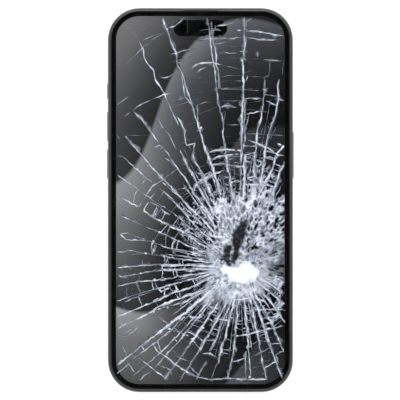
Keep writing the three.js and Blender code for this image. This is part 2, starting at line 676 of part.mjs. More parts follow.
piece(
  "port_flex",
  joined([
    box(around(0, FLEX_WIDTH), [portBackY + BOND, laneY[1]], portFlexZ),
    box([portFlexX[0], FLEX_WIDTH / 2], laneY, portFlexZ),
    box(portFlexX, [laneY[0], mainBayBottom - BOND], portFlexZ),
  ]),
  MATERIALS.flex,
);

function edgeScrew() {
  const headZ = [-EDGE_SCREW_SINK - EDGE_SCREW_HEAD_LENGTH, -EDGE_SCREW_SINK];
  const head = disc(EDGE_SCREW_HEAD_RADIUS, 0, 0, headZ);
  const shank = disc(EDGE_SCREW_SHANK_RADIUS, 0, 0, [-BAND_WALL, headZ[1]]);
  const points = Array.from({ length: 2 * EDGE_SCREW_DRIVE_POINTS }, (_, corner) => {
    const radius = EDGE_SCREW_DRIVE_RADII[corner % 2];
    const angle = (corner * Math.PI) / EDGE_SCREW_DRIVE_POINTS;
    return [radius * Math.cos(angle), radius * Math.sin(angle)];
  });
  const drive = small(polygon(points), [headZ[1] - EDGE_SCREW_DRIVE_DEPTH, OVERRUN]);
  return head.add(shank).subtract(drive);
}
for (const [name, side] of [["edge_screw_left", -1], ["edge_screw_right", 1]]) {
  const group = groupAt(outOfBottom((side * EDGE_SCREW_SPACING) / 2, sideZ));
  piece(name, edgeScrew(), MATERIALS.steel, group);
}

// Sound at the bottom: meshes behind the holes, loudspeaker, haptic motor and microphone

const meshY = [-cavityY + BOND, -cavityY + BOND + MESH_THICKNESS];
const meshX = (holes) => [Math.min(...holes) - MESH_MARGIN, Math.max(...holes) + MESH_MARGIN];
const meshZ = around(sideZ, 2 * (SOUND_HOLE_RADIUS + MESH_MARGIN / 2));
piece("speaker_mesh", box(meshX(speakerHoles), meshY, meshZ), MATERIALS.mesh);
piece("microphone_mesh", box(meshX(microphoneHoles), meshY, meshZ), MATERIALS.mesh);
const microphoneX = [-SOUND_HOLE_FIRST - SOUND_HOLE_PITCH, -SOUND_HOLE_FIRST + SOUND_HOLE_RADIUS];
const microphoneY = [-bayY, -bayY + 2 * SOUND_HOLE_RADIUS];
piece("microphone", box(microphoneX, microphoneY, [bayZ[0], meshZ[1]]), MATERIALS.steel);
const moduleY = [-bayY, mainBayBottom - BAY_CLEARANCE];
const loudspeaker = roundedRectangle([MODULE_FROM_MIDDLE, bayX], moduleY, BOARD_EDGE);
piece("loudspeaker", inCavity(small(loudspeaker, bayZ)), MATERIALS.blackPlastic);
const motorY = [microphoneY[1] + BAY_CLEARANCE, mainBayBottom - FLEX_CORRIDOR];
const motor = roundedRectangle([-bayX, -MODULE_FROM_MIDDLE], motorY, BOARD_EDGE);
piece("haptic_motor", inCavity(small(motor, bayZ)), MATERIALS.steel);

// Sensors behind the pill, and the earpiece

const pillShape = (grow) => stadium(PILL_LENGTH + 2 * grow, PILL_HEIGHT + 2 * grow, 0, pillY);
const sensorBoreZ = panelZ[1] - SENSOR_BORE_DEPTH;
piece(
  "sensor_carrier",
  without(
    prism(pillShape(0), [bayZ[0], panelZ[1]], { segments: SMALL_SEGMENTS }),
    SENSORS.map(({ x, radius }) =>
      disc(radius + SENSOR_CLEARANCE, x, pillY, [sensorBoreZ, PHONE_THICKNESS]),
    ),
  ),
  MATERIALS.blackPlastic,
);
for (const { name, x, radius } of SENSORS) {
  piece(name, disc(radius, x, pillY, [sensorBoreZ + BOND, panelZ[1]]), MATERIALS.darkGlass);
}
const sideOfPill = PILL_LENGTH / 2 + BAY_CLEARANCE;
const topBayY = [mainBayTop + BAY_CLEARANCE, bayY];
const earpiece = roundedRectangle([-bayX, -sideOfPill], topBayY, BOARD_EDGE);
piece("earpiece_speaker", inCavity(small(earpiece, bayZ)), MATERIALS.blackPlastic);
const antennaModule = roundedRectangle([sideOfPill, bayX], topBayY, BOARD_EDGE);
piece("antenna_module", inCavity(small(antennaModule, bayZ)), MATERIALS.circuit);
const earpieceMeshZ = [coverZ[0] + BOND, coverZ[0] + BOND + EARPIECE_MESH_HEIGHT - GLASS_PROUD];
const earpieceMeshX = earpieceX.map((x) => x - Math.sign(x) * BOND);
const earpieceMeshY = [halfLength - glassInset + BOND, earpieceNotchY[1] - BOND];
piece("earpiece_mesh", box(earpieceMeshX, earpieceMeshY, earpieceMeshZ), MATERIALS.mesh);

// Rear camera: one housing whose two barrels reach down to the window

function rearCamera() {
  const x = around(cameraX, CAMERA_MODULE_WIDTH);
  const y = [cameraBottom + BAY_CLEARANCE, mainBayTop - BAY_CLEARANCE];
  const housing = small(roundedRectangle(x, y, BOARD_EDGE), bayZ);
  const barrelZ = [coilZ[0], bayZ[1]];
  return joined([
    housing,
    ...lensPlaces.map((lensY) => disc(CAMERA_BARREL_RADIUS, cameraX, lensY, barrelZ)),
  ]);
}
piece("rear_camera", rearCamera(), MATERIALS.blackPlastic);

// Buttons, their switches and the brackets that hold the switches

for (const button of BUTTONS) {
  const group = groupAt(outOfSide(button.side, buttonY(button), sideZ));
  const flangeZ = [-BAND_WALL - FLANGE_GAP - FLANGE_THICKNESS, -BAND_WALL - FLANGE_GAP];
  const capShape = stadium(BUTTON_HEIGHT, button.length);
  const cap = small(capShape, [flangeZ[0], BUTTON_PROTRUSION], BUTTON_EDGE_ROUND);
  const flangeShape = stadium(BUTTON_HEIGHT + 2 * FLANGE_RIM, button.length + 2 * FLANGE_RIM);
  const nub = disc(NUB_RADIUS, 0, 0, [flangeZ[0] - NUB_LENGTH, flangeZ[1]]);
  const solid = joined([cap, small(flangeShape, flangeZ), nub]);
  piece(`${button.name}_button`, solid, MATERIALS.titanium, group);
  const switchZ = [-halfWidth + switchX - SWITCH_HEIGHT + BOND, -halfWidth + switchX];
  piece(`${button.name}_switch`, disc(SWITCH_RADIUS, 0, 0, switchZ), MATERIALS.steel, group);
}
for (const [name, side] of [["switch_bracket_left", -1], ["switch_bracket_right", 1]]) {
  const own = BUTTONS.filter((button) => button.side === side);
  const low = Math.min(...own.map((button) => buttonY(button) - button.length / 2));
  const high = Math.max(...own.map((button) => buttonY(button) + button.length / 2));
  const x = [bracketX, bracketX + SWITCH_BRACKET_THICKNESS].map((value) => side * value);
  const y = [low - SWITCH_BRACKET_MARGIN, high + SWITCH_BRACKET_MARGIN];
  piece(name, box(ordered(x), y, bayZ), MATERIALS.aluminium);
}

// Display: seal, black frame, metal shield, panel, and the shattered glass over them

piece("display_gasket", ring(glassInset, BAND_WALL, gasketZ), MATERIALS.rubber);
const frameRing = ring(glassInset, pictureInset, [shieldZ[0], panelZ[1]]);
piece("display_frame", frameRing, MATERIALS.blackPlastic);
const pillHole = prism(pillShape(PILL_CLEARANCE), [0, PHONE_THICKNESS], { segments: SMALL_SEGMENTS });
const picture = outline(pictureInset + BOND);
piece("display_shield", prism(picture, shieldZ).subtract(pillHole), MATERIALS.steel);
piece("display_panel", prism(picture, panelZ).subtract(pillHole), MATERIALS.picture);

// Cracks: slots in the face of the glass that run out from the impact, tied together by chords

const radians = (degrees) => (degrees * Math.PI) / 180;
const fromImpact = (angle, radius, sideways = 0) => [
  IMPACT.x + radius * Math.cos(angle) - sideways * Math.sin(angle),
  IMPACT.y + radius * Math.sin(angle) + sideways * Math.cos(angle),
];

function insideGlass([x, y], margin) {
  const inset = glassInset + margin;
  const radius = CORNER_RADIUS - inset;
  const dx = Math.max(Math.abs(x) - (halfWidth - inset - radius), 0);
  const dy = Math.max(Math.abs(y) - (halfLength - inset - radius), 0);
  return Math.hypot(dx, dy) <= radius;
}

function reach(angle) {
  const step = 0.25;
  let radius = CRUSHED_RADIUS;
  while (insideGlass(fromImpact(angle, radius + step), CRACK_RIM_MARGIN)) radius += step;
  return radius;
}

function radialCrack(heading, index) {
  const angle = radians(heading);
  const end = reach(angle);
  const middle = (CRUSHED_RADIUS + end) / 2;
  const kink = index % 2 ? CRACK_KINK : -CRACK_KINK;
  const halfNear = CRACK_WIDTH_NEAR / 2;
  const halfFar = CRACK_WIDTH_FAR / 2;
  const halfMiddle = (halfNear + halfFar) / 2;
  return polygon([
    fromImpact(angle, CRUSHED_RADIUS, -halfNear),
    fromImpact(angle, middle, kink - halfMiddle),
    fromImpact(angle, end, -halfFar),
    fromImpact(angle, end, halfFar),
    fromImpact(angle, middle, kink + halfMiddle),
    fromImpact(angle, CRUSHED_RADIUS, halfNear),
  ]);
}

function ringChord(heading, next, radius) {
  const [a, b] = [radians(heading), radians(next)];
  const corners = [[a, radius], [a, radius + RING_WIDTH], [b, radius + RING_WIDTH], [b, radius]];
  const points = corners.map(([angle, distance]) => fromImpact(angle, distance));
  const whole = points.every((point) => insideGlass(point, CRACK_RIM_MARGIN));
  return whole ? polygon(points) : null;
}

function crackShapes() {
  const shapes = CRACK_HEADINGS.map(radialCrack);
  RING_RADII.forEach((radius, level) => {
    CRACK_HEADINGS.forEach((heading, index) => {
      const next = CRACK_HEADINGS[(index + 1) % CRACK_HEADINGS.length];
      const stagger = radius + ((index % 3) - 1) * RING_STAGGER;
      const chord = (index + level) % 2 ? ringChord(heading, next, stagger) : null;
      if (chord) shapes.push(chord);
    });
  });
  return shapes;
}

const crackZ = [coverZ[1] - CRACK_DEPTH, coverZ[1] + OVERRUN];
const gouge = polygon(GOUGE.map(([dx, dy]) => [IMPACT.x + dx, IMPACT.y + dy]));
piece(
  "cover_glass",
  without(prism(outline(glassInset), coverZ, { edge: GLASS_EDGE_ROUND }), [
    prism(gouge, throughZ),
    ...crackShapes().map((shape) => prism(shape, crackZ)),
  ]),
  MATERIALS.clearGlass,
);

export default phone;
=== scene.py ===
import json
import math
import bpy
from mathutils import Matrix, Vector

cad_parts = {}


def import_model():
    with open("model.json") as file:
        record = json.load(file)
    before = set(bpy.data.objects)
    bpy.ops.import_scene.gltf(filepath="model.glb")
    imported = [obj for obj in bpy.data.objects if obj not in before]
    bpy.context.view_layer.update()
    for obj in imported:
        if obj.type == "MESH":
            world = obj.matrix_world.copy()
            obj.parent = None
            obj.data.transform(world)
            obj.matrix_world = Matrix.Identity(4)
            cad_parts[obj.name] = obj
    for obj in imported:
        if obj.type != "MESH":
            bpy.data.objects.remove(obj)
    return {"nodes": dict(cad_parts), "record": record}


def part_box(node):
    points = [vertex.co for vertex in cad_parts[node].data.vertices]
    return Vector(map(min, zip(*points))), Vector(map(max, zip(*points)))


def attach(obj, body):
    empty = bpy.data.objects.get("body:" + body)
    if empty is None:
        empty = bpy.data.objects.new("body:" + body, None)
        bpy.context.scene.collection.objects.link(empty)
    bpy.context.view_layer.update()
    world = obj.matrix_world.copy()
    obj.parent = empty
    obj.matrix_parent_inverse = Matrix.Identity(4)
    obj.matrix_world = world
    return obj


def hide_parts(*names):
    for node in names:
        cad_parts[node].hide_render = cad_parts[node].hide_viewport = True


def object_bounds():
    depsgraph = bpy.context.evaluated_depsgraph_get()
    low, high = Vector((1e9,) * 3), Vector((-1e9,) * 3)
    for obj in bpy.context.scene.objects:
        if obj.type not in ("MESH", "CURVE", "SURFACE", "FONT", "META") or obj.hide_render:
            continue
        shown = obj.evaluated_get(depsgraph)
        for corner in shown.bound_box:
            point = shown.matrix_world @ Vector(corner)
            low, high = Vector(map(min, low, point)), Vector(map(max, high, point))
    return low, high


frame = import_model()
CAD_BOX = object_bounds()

from types import SimpleNamespace as Settings

import bpy
import numpy as np
from mathutils import Vector
from mathutils.geometry import delaunay_2d_cdt

# The phone lies on its back: +X is right and +Y is the top as seen from above, +Z comes out of the screen.
# Lengths are in metres, apart from the crack network, which is drawn in millimetres.
MM = 0.001
BODY = "phone_body"
NODES = frame["nodes"]

# Photograph: its scale, and the pixel that the middle of the phone falls on
PIXELS = 400
PIXELS_PER_MM = 2.611
PHONE_MIDDLE_PIXEL = (200.4, 200.1)


def photo(point):
    """Millimetres from the middle of the phone, for a point of the photograph in pixels."""
    x = (point[0] - PHONE_MIDDLE_PIXEL[0]) / PIXELS_PER_MM
    y = (PHONE_MIDDLE_PIXEL[1] - point[1]) / PIXELS_PER_MM
    return (x, y)


# Broken glass

GLASS_LOW, GLASS_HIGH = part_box("cover_glass")
GLASS_TOP = GLASS_HIGH.z / MM
GLASS_BOTTOM = GLASS_LOW.z / MM
GLASS_HALF = (GLASS_HIGH.x / MM, GLASS_HIGH.y / MM)
GLASS_CORNER = 10.65
GLASS_ROUND = 0.3
ROUND_STEPS = 4
CORNER_STEPS = 20

_, PANEL_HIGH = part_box("display_panel")
PICTURE_HALF = (PANEL_HIGH.x / MM, PANEL_HIGH.y / MM)

# Cracks keep this far from the edge of the picture, in millimetres
EDGE_GAP = 0.4
PICTURE_EDGE = tuple(half - EDGE_GAP for half in PICTURE_HALF)


def traced(text):
    """Points read from the photograph, from text that gives the x and y of each in pixels."""
    return [tuple(map(float, pair.split(","))) for pair in text.split()]


# Cracks read from the photograph: the strength of each, and the points it runs through, in pixels
TOP_CRACKS = [
    (1.3, "163,18.5 167,31 173,46.5 176.5,54 177.5,66 182,73.5 185.5,85 192,105 199,129 204,146 212,165 "
          "219,189"),
    (0.7, "182,73.5 183.5,88.5 185,97 192,105"),
    (0.8, "197.5,105 197.5,114 198,122"),
    (1, "133,33.5 139.5,41 143.5,50 144,57.5 148,64.5 154,72 155,79.5 163,91 170,107 178.5,126"),
    (1, "177,116 182.5,125 185,131.5 184.5,138.5 187,146 195,143.5 193,152 193.5,159 198.5,167 206,182 "
        "209,190"),
    (0.9, "207,18.5 209.5,32 210.5,45 213,62 215,70 215.5,82 217,90 218,104 223.5,121.5 222.5,135.5 "
          "225,149 228,168 230,182 232,192"),
    (0.8, "211.5,21.5 212,31.5 213,43 216.5,55 216,64.5 218.5,72 219,84 217.5,90"),
    (0.5, "225.5,112 223.5,121.5"),
    (1.3, "244,18 244,36 245,44 242.5,61 243,80 243,101 241.5,120 242,148"),
    (0.9, "243,95 245,104 244,125 245,140 242,153 240,163"),
    (0.7, "249,115 246.5,124 245,132"),
    (1.4, "244.5,154 245,168 244,182 243.5,194"),
    (0.5, "269.5,62 269.5,70 268,77 262.5,78"),
    (0.9, "264,79 264.5,87 263.5,100 261,118 257,132 255.5,149 253.5,162 254,178"),
    (1.1, "279,79.5 277,87 278.5,97 274.5,116 268.5,132 265.5,149 262.5,168 260,182"),
    (0.5, "275.5,128 271.5,135.5 269.5,141"),
    (0.5, "262.5,128 261,135"),
    (1.1, "282,147 277,154.5 272,169.5 264,184.5 259,194"),
    (1.1, "284,164 280,170 277,181 271,198"),
]
LEFT_CRACKS = [
    (0.9, "133.5,112 141,118 154,136.5 160,145 168.5,154.5 177,168 186,179.5 193.5,193 203,205 211,216"),
    (0.6, "163,156.5 170,161.5 176,168"),
    (0.9, "158.5,120 164.5,130 169.5,135 172.5,142 177,150"),
    (0.9, "180,150 184,158 186,164 191.5,173 197,184 205,198 211,208"),
    (1, "125,135.5 136.5,149 153,168.5 167.5,183.5 182,199 192.5,210 197,214 207,224 213,231"),
    (0.8, "159.5,188 172.5,199.5 183,211.5 189,219 201,231 209,238"),
    (0.7, "183,184 190,194 198,205 209,221"),
    (0.7, "180,202 191,214 202,224 211,234"),
    (0.6, "162,182 171,189.5 180,197"),
    (0.9, "117.5,156 123,156 134,167 147,178 152.5,182.5"),
    (0.7, "118,175 129.5,183.5 146,195 159.5,204.5 174.5,213.5 186,224 196,233"),
    (0.6, "150,202 158,205.5 165,211.5 171,214.5"),
    (1, "149.5,202 143.5,210 154.5,218.5 172.5,226 185,232 200,243.5 208,248"),
    (0.7, "121,215 142.5,225 154.5,230 170,236.5 182.5,243 197.5,249.5 208,253"),
    (0.8, "120,233.5 126.5,239.5 143.5,240 153.5,241.5 165,247 186.5,250.5 206,256"),
    (0.6, "120,233.5 129.5,233 135,236.5 146.5,239"),
    (0.8, "116,251.5 125,252 129,249.5 141,252.5 154.5,254.5 172.5,257.5 194,260 208,262"),
    (0.5, "131,254.5 145,253"),
    (1.1, "116,267 154.5,264.5 194,265 215,266.5"),
    (0.9, "118.5,274 122,276.5 141,273 152,271 170,269.5 197.5,268.5 212,269"),
    (0.5, "118.5,274 131.5,272"),
    (0.9, "117,286 136.5,281.5 157,279.5 176,277 197.5,273.5 210,272"),
    (0.9, "116,300.5 125,298 147.5,290.5 168.5,285 184,281 206,275"),
    (0.6, "124.5,301.5 136.5,296.5 154,290.5"),
    (1.1, "116,316.5 133,310 151,303 172.5,293 194,285.5 209,278"),
    (1, "117.5,328 131,321.5 147.5,313.5 161,304.5 184,296.5 207,288"),
    (0.7, "154.5,311.5 162.5,307 179.5,303 190,298"),
    (0.8, "116.5,336 126.5,331.5 139.5,323.5"),
    (0.8, "116.5,339.5 122.5,336 128,335.5 138,327"),
    (1.4, "116,364.5 136.5,349.5 163,328.5 186,312 201,299 213,288"),
    (0.8, "133,358.5 154,343 174.5,326.5 184,316.5"),
    (0.9, "117,373 130,363"),
    (0.7, "132.5,375.5 148,363 167.5,345.5 184,328 196,315 207,303"),
    (0.8, "139.5,379.5 155,366.5 173.5,346.5 187,331 200,315 210,303"),
    (1, "164,379 174.5,365.5 186,349.5 194,338 206,320 216,306"),
    (0.8, "179.5,380 188.5,366 201,347 207.5,335"),
    (0.8, "196.5,379 200,372 206.5,360"),
    (0.8, "180,305 188,300 204,291"),
    (0.6, "211,378 213.5,371 217,362"),
]
BOTTOM_CRACKS = [
    (0.9, "200,351 206.5,338 213,326.5 222,310 229,298"),
    (0.9, "210,351.5 217,336.5 220,324.5 226,313.5 231,302"),
    (1.1, "218,363.5 221.5,346 225,337 229.5,318.5 233,303"),
    (1, "227,379 233.5,352 234.5,339 237,313.5 238,300"),
    (0.9, "235,345 236,352"),
    (0.8, "246,378.5 245,356.5 246,350"),
    (0.7, "251,376 249,357 248,345"),
    (1.2, "248,348 248,335 245.5,313.5 244,300"),
    (1, "266.5,378.5 263,366 258,338 253.5,315 250,300"),
    (1.1, "282,378 272,351.5 265,329.5 256.5,305.5 252,296"),
    (1, "284,351.5 274.5,329.5 263.5,308.5 257,297"),
    (0.9, "283.5,320 271,302 262,291"),
    (0.9, "284,303 270,292 260,284"),
    (0.8, "284,293 272,285 262,279"),
    (0.7, "284,281 271,277 261,274"),
]
CROSS_CRACKS = [
    (0.9, "167,29 174,27 185.5,18.5"),
    (0.5, "136.5,33.5 150,27.5"),
    (0.5, "142.5,41.5 161,33.5"),
    (0.6, "151.5,41 166,32"),
    (0.8, "126,64.5 136.5,55.5 143.5,48 149.5,44"),
    (0.5, "159,76 163,78.5 169,77.5 176,73"),
    (0.7, "183.5,71 187.5,71"),
    (1.2, "171,55.5 174.5,53.5 184,51.5 198,48.5"),
    (0.5, "188.5,52 189,55.5 186.5,58.5 181,57"),
    (1.2, "191.5,69 196.5,65 204,63.5 213,63.5 222,65.5"),
    (0.9, "196,74 200,71 206,67.5"),
    (1.1, "176,101.5 181,99.5 186,98.5"),
    (1.1, "133.5,111 137,107.5 154,99 164.5,95 173,93"),
    (0.9, "124,117 130.5,113"),
    (0.9, "116,105.5 129,97"),
    (0.4, "194.5,106.5 202,103.5 211,102"),
    (0.4, "198,114.5 208,111 216,108"),
    (1, "216,27 227,25.5 234,23 238,20"),
    (1, "209.5,32.5 214,30.5 221,31.5"),
    (0.9, "236,31 242,31"),
    (1.1, "246,32 251.5,31.5 272,34.5 284,37"),
    (1, "195,41.5 206,39.5 231,39 242,38"),
    (0.9, "246,38 258,40 278,41"),
    (0.9, "210.5,45.5 216,44.5 226.5,43"),
    (0.4, "226,46 239,48"),
    (0.4, "218.5,53.5 238,54"),
    (0.8, "238.5,55 242,54"),
    (1, "239,62.5 242.5,61"),
    (0.4, "224,66 232,68 241,70"),
    (0.6, "243.5,76 246,72.5 252,71.5"),
    (0.6, "244.5,84 246.5,79 247.5,76"),
    (0.7, "245,25 248,21 252,19"),
    (0.4, "219,77.5 231,76 261,77.5"),
    (0.4, "222,88.5 241,89"),
    (0.8, "248,89.5 252,89.5"),
    (0.9, "262,89.5 267,91.5"),
    (1, "263,60.5 269,60.5 282,61.5"),
    (0.9, "257,52 257.5,58"),
    (0.5, "221,101 233,101.5 241,100.5"),
    (0.7, "244.5,100 251,98.5 262,99.5"),
    (1.1, "266,101.5 271,104 276.5,106"),
    (1, "277,99 284.5,101"),
    (1.2, "219.5,107.5 227,106 236.5,108"),
    (1, "245,115 251.5,113.5 262,111.5"),
    (0.4, "226,125 241,125"),
    (0.6, "226,137 230,136.5"),
    (0.4, "246,134 283,136"),
    (0.9, "245.5,138.5 249.5,141 265.5,147 277,155"),
    (0.7, "254.5,138.5 261,137.5"),
    (0.9, "276.5,143.5 282,145.5"),
    (0.9, "277,155 284,156"),
    (0.8, "196.5,131.5 204,129"),
    (0.9, "154,148 159.5,145.5 165,148"),
    (1.2, "208,153 213,151 225,149.5 241,151.5"),
    (0.8, "211.5,159 223.5,155.5 236,154.5"),
    (1, "212,165.5 219.5,163.5 233,166 246.5,167"),
    (1, "193,193 197,184 203,179.5 215,173.5 224.5,170.5"),
    (0.8, "245,153 255,153"),
    (0.8, "256,160 262,163.5 256.5,168.5 254,162"),
    (0.9, "232,183 236,180.5 241,181.5"),
    (0.8, "246.5,178 254,176.5"),
    (1.1, "246,184.5 256,184.5 272,186.5"),
    (0.9, "177,169 164.5,179 152.5,186.5 144,199 139,207 131,203 122,198.5"),
    (0.7, "137.5,190 135,196 134,204"),
    (0.9, "116,196.5 119.5,196.5 117,207"),
    (0.7, "117.5,135.5 120,139.5"),
    (0.4, "128,135.5 148,135.5"),
    (0.7, "147,178 142.5,184"),
    (1, "197,214 202,207 207,213 214,225"),
    (1.1, "159.5,232 156.5,236.5 154,241.5 151,246 151,251"),
    (0.5, "142.5,259 142.5,265"),
    (0.5, "162,259 162,264"),
    (0.7, "139.5,273.5 139.5,280.5"),
    (0.8, "127,286 127,297"),
    (0.6, "124.5,306 124.5,312"),
    (0.9, "155,281 157.5,287 161.5,291 167.5,288.5"),
    (0.9, "151,340 158.5,351.5 167.5,356 174.5,363.5 187,371 197.5,376.5"),
    (0.8, "138,356.5 152,367 165,377"),
    (1, "128,362 135,371.5"),
    (0.5, "175,354.5 184,359 192,360.5"),
    (0.7, "170,328 179.5,332 187.5,335"),
    (0.9, "186,313 193,317 202,317"),
    (0.9, "192,338 197,335.5 201,339"),
    (1.1, "197.5,376.5 209.5,378.5 230,377.5 238,378.5 267,378.5"),
    (0.9, "202,353 209.5,352.5 217,357"),
    (0.7, "206.5,340 217,340"),
    (0.7, "221.5,348.5 232,350"),
    (0.9, "230,361 236,360.5 244.5,357.5"),
    (0.7, "252,355.5 261,351.5 270,347"),
    (0.9, "237,335.5 248,333.5 264.5,329.5 283,325"),
    (0.8, "237,321.5 241.5,320"),
    (0.7, "246.5,310.5 255,309 284,309"),
    (0.7, "259.5,318.5 269,317 279,315"),
    (0.5, "259.5,337.5 274,336"),
    (0.8, "217,318 229,320"),
    (1, "233,299 241,299 248,297 262,299.5"),
    (0.7, "254,166.5 262,165"),
    (0.6, "150,200 155,193"),
    (0.8, "184,348.5 190,346"),
    (0.8, "245,360 249,361"),
    (0.8, "123,346 126,351 128,357"),
    (0.7, "275.5,353 278,363"),
    (0.9, "163,212 170,215"),
    (0.4, "250,103 262,101"),
    (0.4, "187.5,17 187.6,38"),
    (0.4, "122,32 131.5,28"),
    (0.4, "283,62 282,75"),
    (0.4, "217,89 230,90 262,91"),
]

# Chips that shine where cracks meet, in pixels
BRIGHT_CHIPS = traced("203,327 209,291 192,173 153.5,169 201,128 183,232 241.5,61 249.5,376 167,30 176,54 "
                      "160,232 153.5,241 146,253 164,256 170,269.5 141,273 155,279.5 165,278.5 195,212 "
                      "202,207 179,241 161.5,291")

# Crushed zone round the point of impact, finely broken webs beside it, the pulverised patch
# and the two lobes of the crater, in pixels
IMPACT = (239, 264)
BLOW = np.array(photo(IMPACT))
ZONE = traced("212,197 224,194 240,193 262,188 284,197 284,284 268,294 246,302 226,306 208,308 198,301 "
              "203,288 204,275 206,250 209,238 213,222 209,206")
WEBS = [
    traced("207,202 194,208 186,216 184,228 192,242 206,254 214,224"),
    traced("246,172 264,170 275,184 264,194 246,197"),
    traced("206,288 194,297 190,308 200,319 216,322 230,316 226,300"),
]
POWDER = traced("220,268 224.5,264 231,268 238,267 242,263 248,262.5 253,265 258,270 257,277 249,282 "
                "240,282 231,280 224,274")
CRATER = [
    traced("245,220 246.5,226 243.5,235 241.5,243 238.5,250 237.5,257 234.5,263 232,262 232.5,257 234,250 "
           "233,243 232.5,238 234,232 239,226"),
    traced("231.5,245 231,249 229,256 228.5,262 230,265 226,264 224.5,258 224.5,250 226,246"),
]

# How white the crushed glass is: spots in pixels, with their half axes and strength
WHITE_SPOTS = [
    ((222, 226), (10, 34), 0.33),
    ((240, 272), (23, 11), 0.7),
    ((236, 292), (28, 9), 0.42),
    ((230, 208), (16, 10), 0.4),
]
BARE_WHITENESS = 0.2

# Shards that stay dark in and over the crushed zone, in pixels: middle, half length and half width
DARK_SHARDS = [
    (203, 212, 3.5, 3), (209, 222, 5, 2), (226.5, 195, 2.6, 2.4), (228.5, 201, 2, 2),
    (236.5, 191, 4.5, 2.5), (247, 193, 4, 1.2), (256, 226, 4, 1.5), (262.5, 234.5, 2, 3),
    (254.5, 246.5, 2, 2), (271, 208, 3, 2.6), (279, 192, 7, 4), (272, 298, 12, 1.8),
    (212, 183, 4.5, 2.6), (223, 183, 4.5, 2), (280, 186, 4, 3), (271, 182, 4, 2), (196, 226, 4, 2),
]
DARK_SHARD_EDGE = (0.75, 1.25)

# Below, lengths are in millimetres and whiteness, or tone, runs from 0 to 1.
# A pair is a low and a high value, unless a comment says otherwise.

# Every crack: its points and ends, how its width and whiteness vary, and how far from the zone it swells
CRACK = Settings(step=1.1, sway=0.15, taper=1.2, tip=0.12, half_width=0.2, edge_tone=0.6, brightest=0.95,
                 jitter=(0.5, 1.35), swell_reach=7.0)
UNEVEN = Settings(mean=-0.1, deviation=0.5, limits=(0.3, 2.4))
DASH = Settings(length=2.6, range=(0.45, 1.3))

# Cracks from the photograph: whiteness by strength, and their run into the crushed zone
TRACK = Settings(tone=0.5, tone_by_strength=0.4, tone_range=(0.85, 1.0), swell=0.35, run=1.8, run_reach=6.0,
                 least_run=0.01)
CROSS = Settings(taper=2.4, taper_share=0.35)
CHIP_RADIUS = (0.4, 0.65)
PALE_LEFT_OF = -13.0

# Halo, barbs and flakes of the stronger cracks, and a second strand from a higher strength on.
# The widths of halo, barbs and strands are shares of the crack's, and so is the whiteness of the last two.
HALO = Settings(strength=0.7, width=2.6, tone=(0.14, 0.24), swell=0.7)
BARB = Settings(spacing=2.4, chance=0.45, length=(0.5, 1.9), lean=1.4, width=0.55, tone=0.8,
                sway=0.05, step=0.5)
FLAKE = Settings(reach=18.0, chance=0.5, scatter=0.15, radius=(0.2, 0.5), tone=(0.5, 0.95),
                 stretch=(1.2, 3.0))
STRAND = Settings(strength=0.8, offset=0.5, turn=0.4, phase=6.0, width=0.6, tone=0.85)
FEWEST_POINTS = 3

# Seeded marks between those cracks. The offset and spread of spatter are in x and y.
LINK = Settings(count=650, half_width=(0.09, 0.19), tone=(0.5, 0.95), sway=CRACK.sway, step=0.6, taper=0.3,
                spread=8.0, longest=5.5, skew=(0.97, 1.03))
STREAK = Settings(count=230, half_width=(0.07, 0.16), tone=(0.4, 0.85), sway=0.1, step=CRACK.step, taper=3.0,
                  start=(0.9, 1.1), shortest=2.0, spread=6.0)
SCRATCH = Settings(count=320, half_width=(0.05, 0.11), tone=(0.12, 0.36), sway=0.05, step=CRACK.step,
                   taper=CRACK.taper, radius=(30, 95), length=(3, 13), points=5)
SPATTER = Settings(count=150, offset=(0.0, 1.0), spread=(5.0, 4.0), radius=(0.12, 0.4), tone=(0.6, 0.95))
BEAD = Settings(corners=6, reach=(0.55, 1.2))

# Ragged edges: the depths between which they rise, how ragged they are, and the size of their lobes
HAZE_EDGE = Settings(low=-0.5, high=3.0, ragged=2.0, size=2.2)
POWDER_EDGE = Settings(low=-0.9, high=0.9, ragged=1.8, size=1.1)
CRATER_EDGE = Settings(low=-0.8, high=0.15, ragged=0.7, size=0.9)

# Crushed zone: its shards, how far they are drawn out along the rays, and clearer cells above the impact
GRAIN = 0.42
WEB_REACH = 3.5
SHARD = Settings(gap=1.9, web_share=0.7, warp=0.5, warp_size=1.5, tone=(-0.12, 0.16), white_loss=0.5)
SQUEEZE = Settings(near=0.62, loss=0.4, radii=(6, 12), above=0.5, straight_above=0.6)
CELL = Settings(radii=(9, 14), heights=(0.2, 0.6), cloud_loss=0.6, haze_loss=0.12, seam_gain=0.15)
ZONE_SEARCH = Settings(start=3.0, step=0.5)
ZONE_CLEAR_BELOW = 0.07

# Crushed zone: milky haze with clouds, rays at the sides and below, seams, threads and dark specks.
# Ray counts are to a radian.
HAZE = Settings(tone=0.16, white=0.42, least=0.02, cloud=0.5, coarse_size=1.3, fine_size=0.7)
RAY = Settings(wide_count=15, wide_length=4.5, wide_share=0.6, fine_count=31, fine_length=3.0,
               fine_share=0.4, edge=(0.42, 0.7), floor=0.06, tone=0.6, radii=(8, 13), heights=(-0.7, 0.0),
               delay=4, delay_heights=(0.0, 0.8))
SEAM = Settings(width=0.42, least=0.35, uneven=1.2, width_size=1.4, web_width=0.35, web_edge=(-1.0, 0.5),
                web_end=-1.0, tone=0.22, white=0.22, mottle=0.5, tone_size=1.7, ray_loss=0.7, haze=0.5)
THREAD = Settings(size=1.5, edge=(0.84, 1.0), tone=0.5, white=0.35)
SPECK = Settings(size=1.1, edge=(0.58, 0.72), white_loss=0.4, seam_loss=0.7)
DARKENING = 0.9

